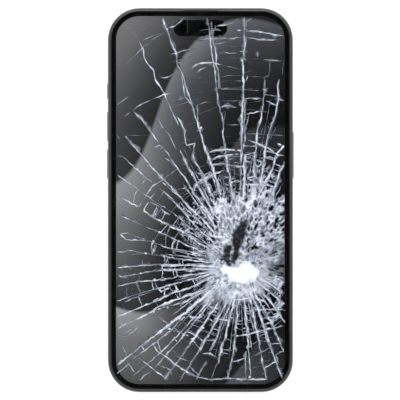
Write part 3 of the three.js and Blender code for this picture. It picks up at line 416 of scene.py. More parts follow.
# Grooves, the crater with its rubble, and the cut of the pane
GROOVE = Settings(depth=0.2, depth_range=(0.3, 1.0))
HOLLOW = Settings(depth=0.55, depth_range=(0.75, 1.0))
RUBBLE = Settings(tone=0.011, speck=0.06, size=0.6, edge=(0.6, 0.95))
CLEAR_BELOW = 0.01
RIM_TONE = 0.004
SMALLEST_AREA = 1e-4
SPILL = Settings(share=1.2, area=0.01)
KEEP_INSIDE = 1
CUT_TOLERANCE = 1e-5
MOTTLE = Settings(cells=128, shift=1000)
TINY = 1e-9
FAR = 1e9

rng = np.random.default_rng(8341)


def signed_area(corners):
    """Area of a polygon, positive if its corners go anticlockwise."""
    x, y = np.array(corners).T
    return (x @ np.roll(y, -1) - y @ np.roll(x, -1)) / 2


def is_convex(corners):
    """True if an anticlockwise polygon turns left at every corner."""
    sides = np.roll(corners, -1, axis=0) - corners
    after = np.roll(sides, -1, axis=0)
    return (sides[:, 0] * after[:, 1] - sides[:, 1] * after[:, 0] > 0).all()


class Network:
    """Patches in millimetres that are cut into the glass, each round a span.

    A span is a line with a whiteness and a half width at both ends: x, y, x, y, tone, tone, width, width.
    """

    def __init__(self):
        self.points = []
        self.loose = []
        self.faces = []
        self.areas = []
        self.spans = []

    def add_patch(self, corners, span):
        """A polygon, turned anticlockwise, unless it has next to no area."""
        area = signed_area(corners)
        if abs(area) > SMALLEST_AREA:
            start = len(self.points)
            self.points.extend((float(x), float(y)) for x, y in corners[::1 if area > 0 else -1])
            self.faces.append(list(range(start, start + len(corners))))
            self.areas.append(abs(area))
            self.spans.append(span)

    def add_ribbon(self, spine, left, right, tones, widths):
        """A strip on both sides of a spine, which is whiter than the strip's edges."""
        self.loose.extend((float(x), float(y)) for x, y in spine)
        for i in range(len(spine) - 1):
            span = (*spine[i], *spine[i + 1], tones[i], tones[i + 1], widths[i], widths[i + 1])
            corners = np.array([right[i], right[i + 1], left[i + 1], left[i]])
            if is_convex(corners):
                self.add_patch(corners, span)
            else:
                self.add_patch(corners[[0, 1, 2]], span)
                self.add_patch(corners[[0, 2, 3]], span)

    def add_bead(self, middle, radius, tone, along=(1.0, 0.0), stretch=1.0):
        """A chip with uneven corners, which may be drawn out in one direction."""
        angles = rng.uniform(0, math.tau) + np.arange(BEAD.corners) * math.tau / BEAD.corners
        reach = radius * rng.uniform(*BEAD.reach, BEAD.corners)
        x, y = stretch * reach * np.cos(angles), reach * np.sin(angles)
        corners = middle + np.column_stack([x * along[0] - y * along[1], x * along[1] + y * along[0]])
        half = radius * (stretch - 1) * np.array(along)
        self.loose.append((float(middle[0]), float(middle[1])))
        self.add_patch(corners, (*(middle - half), *(middle + half), tone, tone, radius, radius))


def resampled(points, step):
    """A polyline cut into even steps."""
    points = np.array(points, dtype=float)
    lengths = np.linalg.norm(np.diff(points, axis=0), axis=1)
    along = np.concatenate([[0], np.cumsum(lengths)])
    count = max(2, round(along[-1] / step) + 1)
    places = np.linspace(0, along[-1], count)
    return np.column_stack([np.interp(places, along, points[:, axis]) for axis in (0, 1)])


def normals_of(line):
    """Unit vectors to the left of a polyline at its points."""
    tangent = np.gradient(line, axis=0)
    tangent /= np.maximum(np.linalg.norm(tangent, axis=1), TINY)[:, None]
    return np.column_stack([-tangent[:, 1], tangent[:, 0]])


def loop_distance(points, loop):
    """Distance of points from a closed loop of traced points, in millimetres, negative outside it."""
    points = np.atleast_2d(points)
    outline = np.array([photo(point) for point in loop])
    nearest = np.full(len(points), FAR)
    within = np.zeros(len(points), dtype=bool)
    for a, b in zip(outline, np.roll(outline, -1, axis=0)):
        side = b - a
        along = np.clip(((points - a) @ side) / (side @ side), 0, 1)
        nearest = np.minimum(nearest, np.linalg.norm(points - a - along[:, None] * side, axis=1))
        straddles = (a[1] > points[:, 1]) != (b[1] > points[:, 1])
        rise = side[1] if side[1] != 0 else TINY
        within ^= straddles & (points[:, 0] < side[0] * (points[:, 1] - a[1]) / rise + a[0])
    return np.where(within, nearest, -nearest)


def smooth(low, high, value):
    """0 below one value, 1 above another, and a smooth rise between them."""
    part = np.clip((value - low) / (high - low), 0, 1)
    return part * part * (3 - 2 * part)


def mottled(points, size):
    """Smooth random values between 0 and 1, in patches of about the given size."""
    grid = rng.uniform(0, 1, (MOTTLE.cells, MOTTLE.cells))
    cell = points / size + MOTTLE.shift
    corner = np.floor(cell).astype(int)
    part = smooth(0, 1, cell - corner)
    x, y = corner.T % MOTTLE.cells
    x_next, y_next = (x + 1) % MOTTLE.cells, (y + 1) % MOTTLE.cells
    near = grid[x, y] * (1 - part[:, 0]) + grid[x_next, y] * part[:, 0]
    far = grid[x, y_next] * (1 - part[:, 0]) + grid[x_next, y_next] * part[:, 0]
    return near * (1 - part[:, 1]) + far * part[:, 1]


def ragged_edge(points, depth, edge):
    """0 outside a soft edge, 1 inside it, and a ragged rise between them."""
    return smooth(edge.low, edge.high, depth + edge.ragged * (mottled(points, edge.size) - 0.5))


def uneven(count):
    """Factors round 1, now and then much larger."""
    return np.clip(np.exp(rng.normal(UNEVEN.mean, UNEVEN.deviation, count)), *UNEVEN.limits)


def dashes(count, step):
    """Slow changes along a crack, from faint stretches to bright ones."""
    knots = max(2, round(count * step / DASH.length) + 1)
    return np.interp(np.linspace(0, knots - 1, count), np.arange(knots), rng.uniform(*DASH.range, knots))


def add_crack(net, points, half_width, tone, sway=CRACK.sway, step=CRACK.step, swell=0.0, taper=CRACK.taper):
    """One crack: a jagged ribbon of uneven width that thins out at both ends, and may swell near the zone.

    Returns its spine.
    """
    line = resampled(points, step)
    count = len(line)
    normal = normals_of(line)
    from_end = np.minimum(np.arange(count), np.arange(count)[::-1])
    line = line + normal * (rng.uniform(-sway, sway, count) * (from_end > 0))[:, None]
    swelling = 1 + swell * np.exp(np.minimum(loop_distance(line, ZONE), 0) / CRACK.swell_reach)
    swelling = swelling * dashes(count, step)
    width = half_width * np.clip(from_end * step / taper, CRACK.tip, 1) * swelling
    left = width * uneven(count)
    right = width * uneven(count)
    tones = np.clip(tone * swelling * rng.uniform(*CRACK.jitter, count), 0, CRACK.brightest)
    edges = (line + normal * left[:, None], line - normal * right[:, None])
    net.add_ribbon(line, *edges, tones, (left + right) / 2)
    return line


def add_mark(net, points, marks):
    """One crack of a kind, with its width and whiteness drawn at random. Returns its spine."""
    half_width = rng.uniform(*marks.half_width)
    tone = rng.uniform(*marks.tone)
    return add_crack(net, points, half_width, tone, marks.sway, marks.step, taper=marks.taper)


def add_barbs(net, line, strength, tone):
    """Short spikes that split off a crack."""
    normal = normals_of(line)
    stride = max(1, round(BARB.spacing / CRACK.step))
    half_width = BARB.width * CRACK.half_width * strength
    for i in range(stride, len(line) - 1, stride):
        if rng.random() > BARB.chance:
            continue
        along = np.array([normal[i][1], -normal[i][0]])
        heading = normal[i] * rng.choice([-1, 1]) + along * rng.uniform(-BARB.lean, BARB.lean)
        heading /= np.linalg.norm(heading)
        end = line[i] + heading * rng.uniform(*BARB.length)
        add_crack(net, [line[i], end], half_width, BARB.tone * tone, sway=BARB.sway, step=BARB.step)


def add_flakes(net, line, strength):
    """White chips along a crack."""
    if len(line) < FEWEST_POINTS:
        return
    for point, normal in zip(line, normals_of(line)):
        if rng.random() < FLAKE.chance:
            middle = rng.normal(point, FLAKE.scatter)
            radius = rng.uniform(*FLAKE.radius) * strength
            tone = rng.uniform(*FLAKE.tone)
            net.add_bead(middle, radius, tone, (normal[1], -normal[0]), rng.uniform(*FLAKE.stretch))


def add_strand(net, line, half_width, tone):
    """A second strand that winds along a crack."""
    turn = np.linspace(0, STRAND.turn * len(line), len(line)) + rng.uniform(0, STRAND.phase)
    offset = STRAND.offset * np.sin(turn)
    strand = line + normals_of(line) * offset[:, None]
    add_crack(net, strand, STRAND.width * half_width, STRAND.tone * tone)


def towards_impact(point):
    """A point moved towards the impact: a short way near the crushed zone, hardly at all elsewhere."""
    way = BLOW - point
    run = TRACK.run if loop_distance(point, ZONE)[0] > -TRACK.run_reach else TRACK.least_run
    return point + way / np.linalg.norm(way) * run


def picture_is_pale(point):
    """True over the paler side of the picture, where halos and scratches don't show."""
    return point[0] < PALE_LEFT_OF


def draw_cracks(net):
    """All the cracks that the photograph shows one by one, and the chips that shine where they meet.

    Returns the spines of the cracks that run out from the impact.
    """
    rays = []
    for group in (TOP_CRACKS, LEFT_CRACKS, BOTTOM_CRACKS, CROSS_CRACKS):
        crosses = group is CROSS_CRACKS
        for strength, track in group:
            points = [np.array(photo(point)) for point in traced(track)]
            if not crosses:
                points.append(towards_impact(points[-1]))
            points = np.clip(points, -np.array(PICTURE_EDGE), PICTURE_EDGE)
            length = np.linalg.norm(points[-1] - points[0])
            taper = np.clip(CROSS.taper_share * length, CRACK.taper, CROSS.taper) if crosses else CRACK.taper
            tone = min(CRACK.brightest, TRACK.tone + TRACK.tone_by_strength * strength)
            tone *= rng.uniform(*TRACK.tone_range)
            half = CRACK.half_width * strength
            line = add_crack(net, points, half, tone, swell=TRACK.swell, taper=taper)
            near = line[loop_distance(line, ZONE) > -FLAKE.reach]
            if strength >= HALO.strength:
                add_barbs(net, line, strength, tone)
                add_flakes(net, near, strength)
                if not picture_is_pale(line[len(line) // 2]):
                    swell = HALO.swell if crosses or group is TOP_CRACKS else 0.0
                    halo_tone = rng.uniform(*HALO.tone)
                    add_crack(net, line, HALO.width * half, halo_tone, swell=swell, taper=taper)
            if not crosses:
                rays.append(line)
                if strength >= STRAND.strength and len(near) > FEWEST_POINTS:
                    add_strand(net, near, half, tone)
    for point in BRIGHT_CHIPS:
        net.add_bead(photo(point), rng.uniform(*CHIP_RADIUS), CRACK.brightest)
    return rays


def zone_edge(heading):
    """Distance from the impact to the outline of the crushed zone, in one direction."""
    reach = ZONE_SEARCH.start
    while loop_distance(BLOW + heading * reach, ZONE)[0] > ZONE_SEARCH.step:
        reach += ZONE_SEARCH.step
    return reach


def polar(points):
    """Distance from the impact, angle round it, and how far up each point lies: 1 straight up, -1 down."""
    outward = points - BLOW
    radius = np.maximum(np.linalg.norm(outward, axis=1), TINY)
    return radius, np.arctan2(outward[:, 0], outward[:, 1]), outward[:, 1] / radius


def ray_angles(rays, radius):
    """The angles round the impact at which rays cross a circle, in order, the first again at the end."""
    found = []
    for ray in rays:
        reach, angle, _ = polar(ray)
        if reach.min() < radius < reach.max():
            order = np.argsort(reach)
            found.append(np.interp(radius, reach[order], np.unwrap(angle)[order]) % math.tau)
    found.sort()
    return np.array([*found, found[0] + math.tau])


def in_picture(points):
    """True where a point lies over the lit picture."""
    return (np.abs(points) < np.array(PICTURE_HALF)).all(axis=-1)


def draw_streaks(net):
    """Hairlines that fan out of the crushed zone. Returns their spines."""
    lines = []
    for _ in range(STREAK.count):
        angle = rng.uniform(0, math.tau)
        heading = np.array([math.cos(angle), math.sin(angle)])
        edge = zone_edge(heading)
        start = edge * rng.uniform(*STREAK.start)
        end = edge + STREAK.shortest + rng.exponential(STREAK.spread)
        ends = BLOW + heading * np.array([[start], [end]])
        if in_picture(ends).all():
            lines.append(add_mark(net, ends, STREAK))
    return lines


def draw_links(net, rays):
    """Short cracks from ray to ray round the crushed zone."""
    for _ in range(LINK.count):
        turn = rng.uniform(0, math.tau)
        radius = zone_edge(np.array([math.sin(turn), math.cos(turn)])) + rng.exponential(LINK.spread)
        angles = ray_angles(rays, radius)
        after = max(1, np.searchsorted(angles, turn) % len(angles))
        pair = angles[after - 1:after + 1]
        if (pair[1] - pair[0]) * radius > LINK.longest:
            continue
        reach = radius * rng.uniform(*LINK.skew, (2, 1))
        ends = BLOW + reach * np.column_stack([np.sin(pair), np.cos(pair)])
        if in_picture(ends).all():
            add_mark(net, ends, LINK)


def draw_scratches(net):
    """Faint arcs round the impact, over the dark part of the picture."""
    for _ in range(SCRATCH.count):
        radius = rng.uniform(*SCRATCH.radius)
        start = rng.uniform(0, math.tau)
        arc = start + np.linspace(0, rng.uniform(*SCRATCH.length) / radius, SCRATCH.points)
        points = BLOW + radius * np.column_stack([np.cos(arc), np.sin(arc)])
        if in_picture(points).all() and not any(picture_is_pale(point) for point in points):
            add_mark(net, points, SCRATCH)


def draw_spatter(net):
    """White chips strewn round the pulverised patch."""
    middle = np.mean([photo(point) for point in POWDER], axis=0)
    for _ in range(SPATTER.count):
        place = rng.normal(middle + np.array(SPATTER.offset), SPATTER.spread)
        net.add_bead(place, rng.uniform(*SPATTER.radius), rng.uniform(*SPATTER.tone))


def damage():
    """The network of everything that is drawn on the pane."""
    net = Network()
    rays = draw_cracks(net)
    streaks = draw_streaks(net)
    draw_links(net, rays + streaks)
    draw_scratches(net)
    draw_spatter(net)
    return net


def web_depth(points):
    """How far a point lies within the crushed zone or a web, in millimetres, negative outside them."""
    return np.max([loop_distance(points, loop) for loop in (ZONE, *WEBS)], axis=0)


def scattered(gap):
    """Points spread unevenly over the crushed zone and the webs, one in each square of a grid."""
    outline = np.array([photo(point) for loop in (ZONE, *WEBS) for point in loop])
    low, high = outline.min(axis=0) - WEB_REACH, outline.max(axis=0) + WEB_REACH
    columns, rows = ((high - low) / gap).astype(int)
    squares = np.array([(column, row) for row in range(rows) for column in range(columns)])
    points = low + (squares + rng.uniform(0, 1, squares.shape)) * gap
    return points[in_picture(points) & (web_depth(points) > -WEB_REACH)]


def whiteness(points):
    """How white the crushed glass is on the whole at each point, from 0 to 1."""
    level = np.full(len(points), BARE_WHITENESS)
    for point, axes, strength in WHITE_SPOTS:
        offset = (points - np.array(photo(point))) * PIXELS_PER_MM / np.array(axes)
        level += strength * np.exp(-(offset ** 2).sum(axis=1))
    return np.clip(level, 0, 1)


def dark_shards(points):
    """1 in the shards that stay dark, which point at the impact, and 0 well outside them."""
    level = np.zeros(len(points))
    for x, y, length, width in DARK_SHARDS:
        middle = np.array(photo((x, y)))
        heading = middle - BLOW
        heading /= np.linalg.norm(heading)
        offset = (points - middle) * PIXELS_PER_MM
        across = offset @ np.array([-heading[1], heading[0]])
        reach = np.hypot(offset @ heading / length, across / width)
        level = np.maximum(level, 1 - smooth(*DARK_SHARD_EDGE, reach))
    return level


def crater(points):
    """1 in the lobes where the glass is gone, 0 outside them, with a ragged edge between."""
    depth = np.max([loop_distance(points, lobe) for lobe in CRATER], axis=0)
    return ragged_edge(points, depth, CRATER_EDGE)


def shards(points, seeds):
    """The shard that each point belongs to, and how far it is from the seam to the next one.

    A shard is the space round a seed, drawn out along the rays from the impact.
    """
    radius, angle, upward = polar(points)
    beside = SQUEEZE.near - SQUEEZE.loss * smooth(*SQUEEZE.radii, radius)
    squeeze = np.where(upward > SQUEEZE.straight_above, SQUEEZE.above, beside)
    owner = np.zeros(len(points), dtype=int)
    gap = np.zeros(len(points))
    for i, point in enumerate(points):
        offset = seeds - point
        ray = np.array([math.sin(angle[i]), math.cos(angle[i])])
        along = offset @ ray * squeeze[i]
        across = offset @ np.array([-ray[1], ray[0]])
        distance = np.hypot(along, across)
        owner[i], second = np.argpartition(distance, 1)[:2]
        gap[i] = distance[second] - distance[owner[i]]
    return owner, gap


def hazy_shards(points, owner, count, white, cells):
    """How milky the shards are, each with a shade of its own under uneven clouds."""
    coarse = mottled(points, HAZE.coarse_size)
    fine = mottled(points, HAZE.fine_size)
    cloud = (0.5 * coarse + 0.5 * fine - 0.5) * (1 - CELL.cloud_loss * cells)
    own = rng.uniform(*SHARD.tone, count)[owner] * (1 - SHARD.white_loss * white) * (1 + cells)
    level = HAZE.tone + HAZE.white * white - CELL.haze_loss * cells + own + HAZE.cloud * cloud
    return np.clip(level, HAZE.least, 1)


def ray_pattern(radius, angle):
    """Whiteness in rays round the impact, wide ones and fine ones together."""
    wide = mottled(np.column_stack([angle * RAY.wide_count, radius / RAY.wide_length]), 1.0)
    fine = mottled(np.column_stack([angle * RAY.fine_count, radius / RAY.fine_length]), 1.0)
    return RAY.floor + RAY.tone * smooth(*RAY.edge, RAY.wide_share * wide + RAY.fine_share * fine)


def crushed_tone(points):
    """How white the crushed glass is at each point: hazy shards, rays, a web of seams, specks and powder."""
    seeds = scattered(SHARD.gap)
    seeds = seeds[(loop_distance(seeds, ZONE) > 0) | (rng.random(len(seeds)) < SHARD.web_share)]
    warp = np.column_stack([mottled(points, SHARD.warp_size), mottled(points, SHARD.warp_size)]) - 0.5
    owner, gap = shards(points + SHARD.warp * warp, seeds)
    white = whiteness(points)
    depth = loop_distance(points, ZONE)
    radius, angle, upward = polar(points)

    fill = ragged_edge(points, depth, HAZE_EDGE)
    cells = smooth(*CELL.radii, radius) * smooth(*CELL.heights, upward)
    haze = fill * hazy_shards(points, owner, len(seeds), white, cells)
    delay = RAY.delay * smooth(*RAY.delay_heights, -upward)
    raying = smooth(*RAY.radii, radius - delay) * smooth(*RAY.heights, -upward)
    haze = haze * (1 - raying) + fill * ray_pattern(radius, angle) * raying

    seam_width = SEAM.width * (SEAM.least + SEAM.uneven * mottled(points, SEAM.width_size))
    seam_width = seam_width * (SEAM.web_width + (1 - SEAM.web_width) * smooth(*SEAM.web_edge, depth))
    seam = np.exp(-(gap / seam_width) ** 2)
    seam_tone = SEAM.tone + SEAM.white * white + SEAM.mottle * mottled(points, SEAM.tone_size)
    seam_tone = (seam_tone + CELL.seam_gain * cells) * smooth(-WEB_REACH, SEAM.web_end, web_depth(points))
    tone = np.maximum(haze, seam * seam_tone * (1 - SEAM.ray_loss * raying) + SEAM.haze * haze * seam)
    threads = smooth(*THREAD.edge, 1 - np.abs(2 * mottled(points, THREAD.size) - 1))
    threads = threads * fill * (1 - raying) * (1 - cells)
    tone = np.maximum(tone, threads * (THREAD.tone + THREAD.white * white))

    specks = smooth(*SPECK.edge, mottled(points, SPECK.size))
    specks = specks * (1 - SPECK.white_loss * white) * (1 - SPECK.seam_loss * seam)
    tone = tone * (1 - DARKENING * specks) * (1 - DARKENING * dark_shards(points))
    powder = ragged_edge(points, loop_distance(points, POWDER), POWDER_EDGE)
    return np.clip(tone + powder * (1 - tone), 0, 1)


def zone_tones(points):
    """How white the crushed glass makes each point of the pane."""
    near = web_depth(points) > -WEB_REACH
    tones = np.zeros(len(points))
    tones[near] = crushed_tone(points[near])
    tones[tones < ZONE_CLEAR_BELOW] = 0
    return tones


def rounded_outline(inset):
    """The glass outline in millimetres, drawn in by an inset, anticlockwise."""
    radius = GLASS_CORNER - inset
    cx, cy = GLASS_HALF[0] - GLASS_CORNER, GLASS_HALF[1] - GLASS_CORNER
    points = []
    for quarter, (sx, sy) in enumerate([(1, 1), (-1, 1), (-1, -1), (1, -1)]):
        for step in range(CORNER_STEPS + 1):
            angle = (quarter + step / CORNER_STEPS) * math.pi / 2
            points.append((sx * cx + radius * math.cos(angle), sy * cy + radius * math.sin(angle)))
    return points


def rim_profile():
    """Inset and height of the rings down the rounded rim of the glass."""
    angles = [step / ROUND_STEPS * math.pi / 2 for step in range(1, ROUND_STEPS + 1)]
    upper = [(GLASS_ROUND * (1 - math.sin(a)), GLASS_TOP - GLASS_ROUND * (1 - math.cos(a))) for a in angles]
    lower = [(inset, GLASS_TOP + GLASS_BOTTOM - z) for inset, z in reversed(upper)]
    return [*upper, *lower, (GLASS_ROUND, GLASS_BOTTOM)]


def cut_pane(net, rim):
    """The top of the pane, cut along the network.

    Returns its points and triangles, pairs of a triangle and a patch over it, which triangles lie
    in the straight stretch of the picture, and the points along the rim.
    """
    wide, long = PICTURE_HALF[0], PICTURE_HALF[1] - GLASS_CORNER
    window = [(-wide, -long), (wide, -long), (wide, long), (-wide, long)]
    edges = rim + window
    loops = [list(range(len(rim))), list(range(len(rim), len(edges)))]
    loops += [[i + len(edges) for i in face] for face in net.faces]
    chips = [tuple(point) for point in scattered(GRAIN).tolist()]
    places = [Vector(point) for point in edges + net.points + net.loose + chips]
    points, _, faces, sources, _, covers = delaunay_2d_cdt(places, [], loops, KEEP_INSIDE, CUT_TOLERANCE)
    pairs = [(face, loop - 2) for face, found in enumerate(covers) for loop in found if loop > 1]
    in_window = [1 in found for found in covers]
    ring = [0] * len(rim)
    for index, origins in enumerate(sources):
        for origin in origins:
            if origin < len(rim):
                ring[origin] = index
    return np.array(points), np.array(faces), np.array(pairs), np.array(in_window), ring


def corner_tones(net, points, faces, pairs):
    """The whiteness at each corner of the triangles: the highest that a patch lying over it gives there.

    A patch that the cut spread over more than its own area is left out.
    """
    spans = np.array(net.spans)
    corners = points[faces]
    sides = np.stack([corners[:, 1] - corners[:, 0], corners[:, 2] - corners[:, 0]], axis=2)
    areas = np.abs(np.linalg.det(sides)) / 2
    covered = np.bincount(pairs[:, 1], areas[pairs[:, 0]], len(spans))
    kept = covered < SPILL.share * np.array(net.areas) + SPILL.area
    face, source = pairs[kept[pairs[:, 1]]].T
    start, end, tone, width = np.split(spans[source][:, None, :], 4, axis=2)
    way = end - start
    offset = corners[face] - start
    part = np.clip((offset * way).sum(axis=2) / np.maximum((way ** 2).sum(axis=2), TINY), 0, 1)
    away = np.linalg.norm(offset - part[:, :, None] * way, axis=2)
    tone = tone[:, :, 0] * (1 - part) + tone[:, :, 1] * part
    width = width[:, :, 0] * (1 - part) + width[:, :, 1] * part
    fade = np.clip(away / np.maximum(width, TINY), 0, 1)
    result = np.zeros((len(faces), 3))
    np.maximum.at(result, face, tone * (1 - (1 - CRACK.edge_tone) * fade))
    return result


def sunk(points, faces, frosted, hollow):
    """How far each point lies below the pane's top: in the grooves a little, in the crater more."""
    drop = GROOVE.depth * rng.uniform(*GROOVE.depth_range, len(points))
    drop[np.unique(faces[~frosted])] = 0
    return np.maximum(drop, HOLLOW.depth * hollow * rng.uniform(*HOLLOW.depth_range, len(points)))


def add_rim(solid, shape, ring):
    """Closes the pane below its cut top, with a rounded rim and a flat underside."""
    for inset, z in rim_profile():
        lower = list(range(len(solid), len(solid) + len(ring)))
        solid.extend((x, y, z) for x, y in rounded_outline(inset))
        for i in range(len(ring)):
            j = (i + 1) % len(ring)
            shape.append([ring[i], lower[i], lower[j], ring[j]])
        ring = lower
    shape.append(ring[::-1])


def broken_glass(clear, frost):
    """The front pane in one closed mesh: clear shards, frosted grooves along the cracks, and the crater."""
    net = damage()
    rim = rounded_outline(GLASS_ROUND)
    points, faces, pairs, in_window, ring = cut_pane(net, rim)
    hollow = crater(points)
    rubble = RUBBLE.tone + RUBBLE.speck * smooth(*RUBBLE.edge, mottled(points, RUBBLE.size))
    crushed = zone_tones(points)[faces] * in_window[:, None]
    tones = np.maximum(corner_tones(net, points, faces, pairs), crushed)
    tones = tones * (1 - hollow[faces]) + (rubble * hollow)[faces]
    frosted = tones.max(axis=1) > CLEAR_BELOW

    solid = [(x, y, GLASS_TOP - down) for (x, y), down in zip(points, sunk(points, faces, frosted, hollow))]
    shape = faces.tolist()
    add_rim(solid, shape, ring)
    walls = len(shape) - len(faces) - 1

    mesh = bpy.data.meshes.new("broken_glass")
    mesh.from_pydata([(x * MM, y * MM, z * MM) for x, y, z in solid], [], shape)
    mesh.materials.append(clear)
    mesh.materials.append(frost)
    mesh.polygons.foreach_set("material_index", [*frosted.astype(int).tolist(), *[1] * walls, 0])
    tone = mesh.attributes.new("tone", "FLOAT", "CORNER")
    tone.data.foreach_set("value", [*tones.ravel().tolist(), *[RIM_TONE] * (4 * walls + len(rim))])
    mesh.validate()
    mesh.update()
    obj = bpy.data.objects.new("broken_glass", mesh)
    bpy.context.scene.collection.objects.link(obj)
    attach(obj, BODY)
    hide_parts("cover_glass")


# Shader nodes

def node(tree, kind, **settings):
    """A shader node with its settings and socket values."""
    made = tree.nodes.new(kind)
    for key, value in settings.items():
        if key in made.inputs:
            made.inputs[key].default_value = value
        else:
            setattr(made, key, value)
    return made


def wire(tree, source, output, target, socket):
    tree.links.new(source.outputs[output], target.inputs[socket])


def shader_of(material):
    return material.node_tree.nodes["Principled BSDF"]


def shade(value):
    """A grey, from one number."""
    return (value, value, value)


def greys(stops):
    """Stops of a colour ramp, from places and single numbers."""
    return [(place, shade(value)) for place, value in stops]


def ramp(tree, stops):
    """A colour ramp with a colour at each of its stops."""
    made = node(tree, "ShaderNodeValToRGB")
    elements = made.color_ramp.elements
    while len(elements) < len(stops):
        elements.new(0.5)
    for element, (place, color) in zip(elements, stops):
        element.position = place
        element.color = (*color, 1)
    return made


def remapped(tree, source, output, span, result, **settings):
    """A value taken from one range to another."""
    made = node(tree, "ShaderNodeMapRange", **settings)
    for socket, value in zip(("From Min", "From Max", "To Min", "To Max"), (*span, *result)):
        made.inputs[socket].default_value = value
    wire(tree, source, output, made, "Value")
    return made


def calculated(tree, operation, *values):
    """A Math node on numbers and outputs, each output given as a node and a name. Returns such an output."""
    made = node(tree, "ShaderNodeMath", operation=operation)
    for socket, value in enumerate(values):
        if isinstance(value, tuple):
            wire(tree, *value, made, socket)
        else:
            made.inputs[socket].default_value = value
    return made, "Value"


def multiplied(tree, first, second):
    """Two colours multiplied, each given as a node and the name of its output."""
    made = node(tree, "ShaderNodeMix", data_type="RGBA", blend_type="MULTIPLY", Factor=1.0)
    wire(tree, *first, made, "A")
    wire(tree, *second, made, "B")
    return made, "Result"


# Materials

# Looks of the record's slots: roughness, noise per metre, and the two shades or colours of the grain
SLOT_LOOKS = {
    "titanium": dict(rough=(0.34, 0.44), scale=60, low=0.06, high=0.08, metallic=1.0, stretch=(1, 1, 60)),
    "antenna_plastic": dict(rough=(0.5, 0.65), scale=900, low=0.035, high=0.05),
    "back_glass": dict(rough=(0.36, 0.48), scale=2500, low=0.024, high=0.034, bump=0.05),
    "dark_glass": dict(rough=(0.03, 0.1), scale=300, low=0.002, high=0.004),
    "flash_diffuser": dict(rough=0.3, scale=900, low=(0.72, 0.62, 0.33), high=(0.82, 0.75, 0.5), bump=0.2),
    "black_plastic": dict(rough=0.6, scale=1500, low=0.0012, high=0.0026, specular=0.08),
    "seal": dict(rough=0.85, scale=800, low=0.006, high=0.014),
    "aluminium": dict(rough=(0.4, 0.55), scale=1800, low=0.44, high=0.54, metallic=1.0, bump=0.1),
    "steel": dict(rough=(0.28, 0.42), scale=200, low=0.42, high=0.56, metallic=1.0, stretch=(1, 12, 1)),
    "circuit_board": dict(rough=0.45, scale=500, low=(0.006, 0.035, 0.018), high=(0.015, 0.07, 0.035)),
    "flex_circuit": dict(rough=0.45, scale=600, low=(0.2, 0.08, 0.015), high=(0.3, 0.14, 0.03)),
    "battery_pouch": dict(rough=0.5, scale=150, low=0.009, high=0.016, bump=0.2),
    "adhesive": dict(rough=0.7, scale=400, low=0.6, high=0.7),
    "copper": dict(rough=0.35, scale=300, low=(0.5, 0.2, 0.08), high=(0.6, 0.28, 0.13), metallic=1.0),
    "acoustic_mesh": dict(rough=0.8, scale=6000, low=0.004, high=0.03, bump=0.3),
}
GRAIN_STOPS = (0.3, 0.7)
DIELECTRIC = 0.5

# Smears on the whole glass, and grain and colours of the broken glass
SMEAR_SPAN = (0.45, 0.8)
SMEAR_ROUGHNESS = (0.0, 0.12)
FROST_SPAN = (0.3, 0.55)
FROST_DULLING = (0.8, 1.0)
FROST_COLORS = [
    (0.0, (0.0, 0.0, 0.0)),
    (0.5, (0.45, 0.5, 0.6)),
    (0.85, (0.83, 0.86, 0.93)),
    (0.95, (0.98, 0.98, 0.98)),
]

# Lit picture: slopes per metre across it and up it, distances in metres
PANEL_COLOR = (0.004, 0.004, 0.005)
FOLD_SLOPE = (12.0, -18.0)
FOLD_WAVES = [((45.0, 30.0), 0.3), ((85.0, 0.0), 0.12)]
FOLD_SHIFT = 0.82
FOLD_SHADES = [(0.0, 1.0), (0.25, 0.55), (0.8, 0.16), (0.97, 0.1), (1.0, 1.0)]
LIGHT_SLOPE = (-14.0, -1.5)
LIGHT_COLORS = [(0.0, (0.022, 0.022, 0.025)), (0.45, (0.115, 0.12, 0.14)), (1.0, (0.4, 0.4, 0.41))]
UPPER_SPAN = (0.03, 0.075)
UPPER_LEVELS = (0.4, 0.8)
DEAD_SPAN = (0.020, 0.048)
DEAD_LEVELS = (0.06, 1.0)

# Smooth shading of the CAD nodes
WELD_GAP = 1e-6
SHARP_ANGLE = math.radians(35)


def new_material(name, color, roughness, metallic=0.0, specular=DIELECTRIC):
    material = bpy.data.materials.new(name)
    material.use_nodes = True
    shader = shader_of(material)
    shader.inputs["Specular IOR Level"].default_value = specular
    shader.inputs["Base Color"].default_value = (*color, 1)
    shader.inputs["Roughness"].default_value = roughness
    shader.inputs["Metallic"].default_value = metallic
    return material


def grained(name, rough, scale, low, high, metallic=0.0, specular=DIELECTRIC, stretch=(1, 1, 1), bump=0.0):
    """A material with a grain in the object's frame: in colour, in roughness if that is a range, in bump."""
    colors = [color if isinstance(color, tuple) else shade(color) for color in (low, high)]
    uneven_gloss = isinstance(rough, tuple)
    material = new_material(name, colors[0], rough[0] if uneven_gloss else rough, metallic, specular)
    shader = shader_of(material)
    tree = material.node_tree
    place = node(tree, "ShaderNodeTexCoord")
    mapping = node(tree, "ShaderNodeMapping", Scale=stretch)
    speckle = node(tree, "ShaderNodeTexNoise", Scale=scale, Detail=4.0, Roughness=0.6)
    shades = ramp(tree, list(zip(GRAIN_STOPS, colors)))
    wire(tree, place, "Object", mapping, "Vector")
    wire(tree, mapping, "Vector", speckle, "Vector")
    wire(tree, speckle, "Fac", shades, "Fac")
    wire(tree, shades, "Color", shader, "Base Color")
    if uneven_gloss:
        wire(tree, remapped(tree, speckle, "Fac", (0, 1), rough), "Result", shader, "Roughness")
    if bump:
        relief = node(tree, "ShaderNodeBump", Strength=bump, Distance=0.0002)
        wire(tree, speckle, "Fac", relief, "Height")
        wire(tree, relief, "Normal", shader, "Normal")
    return material


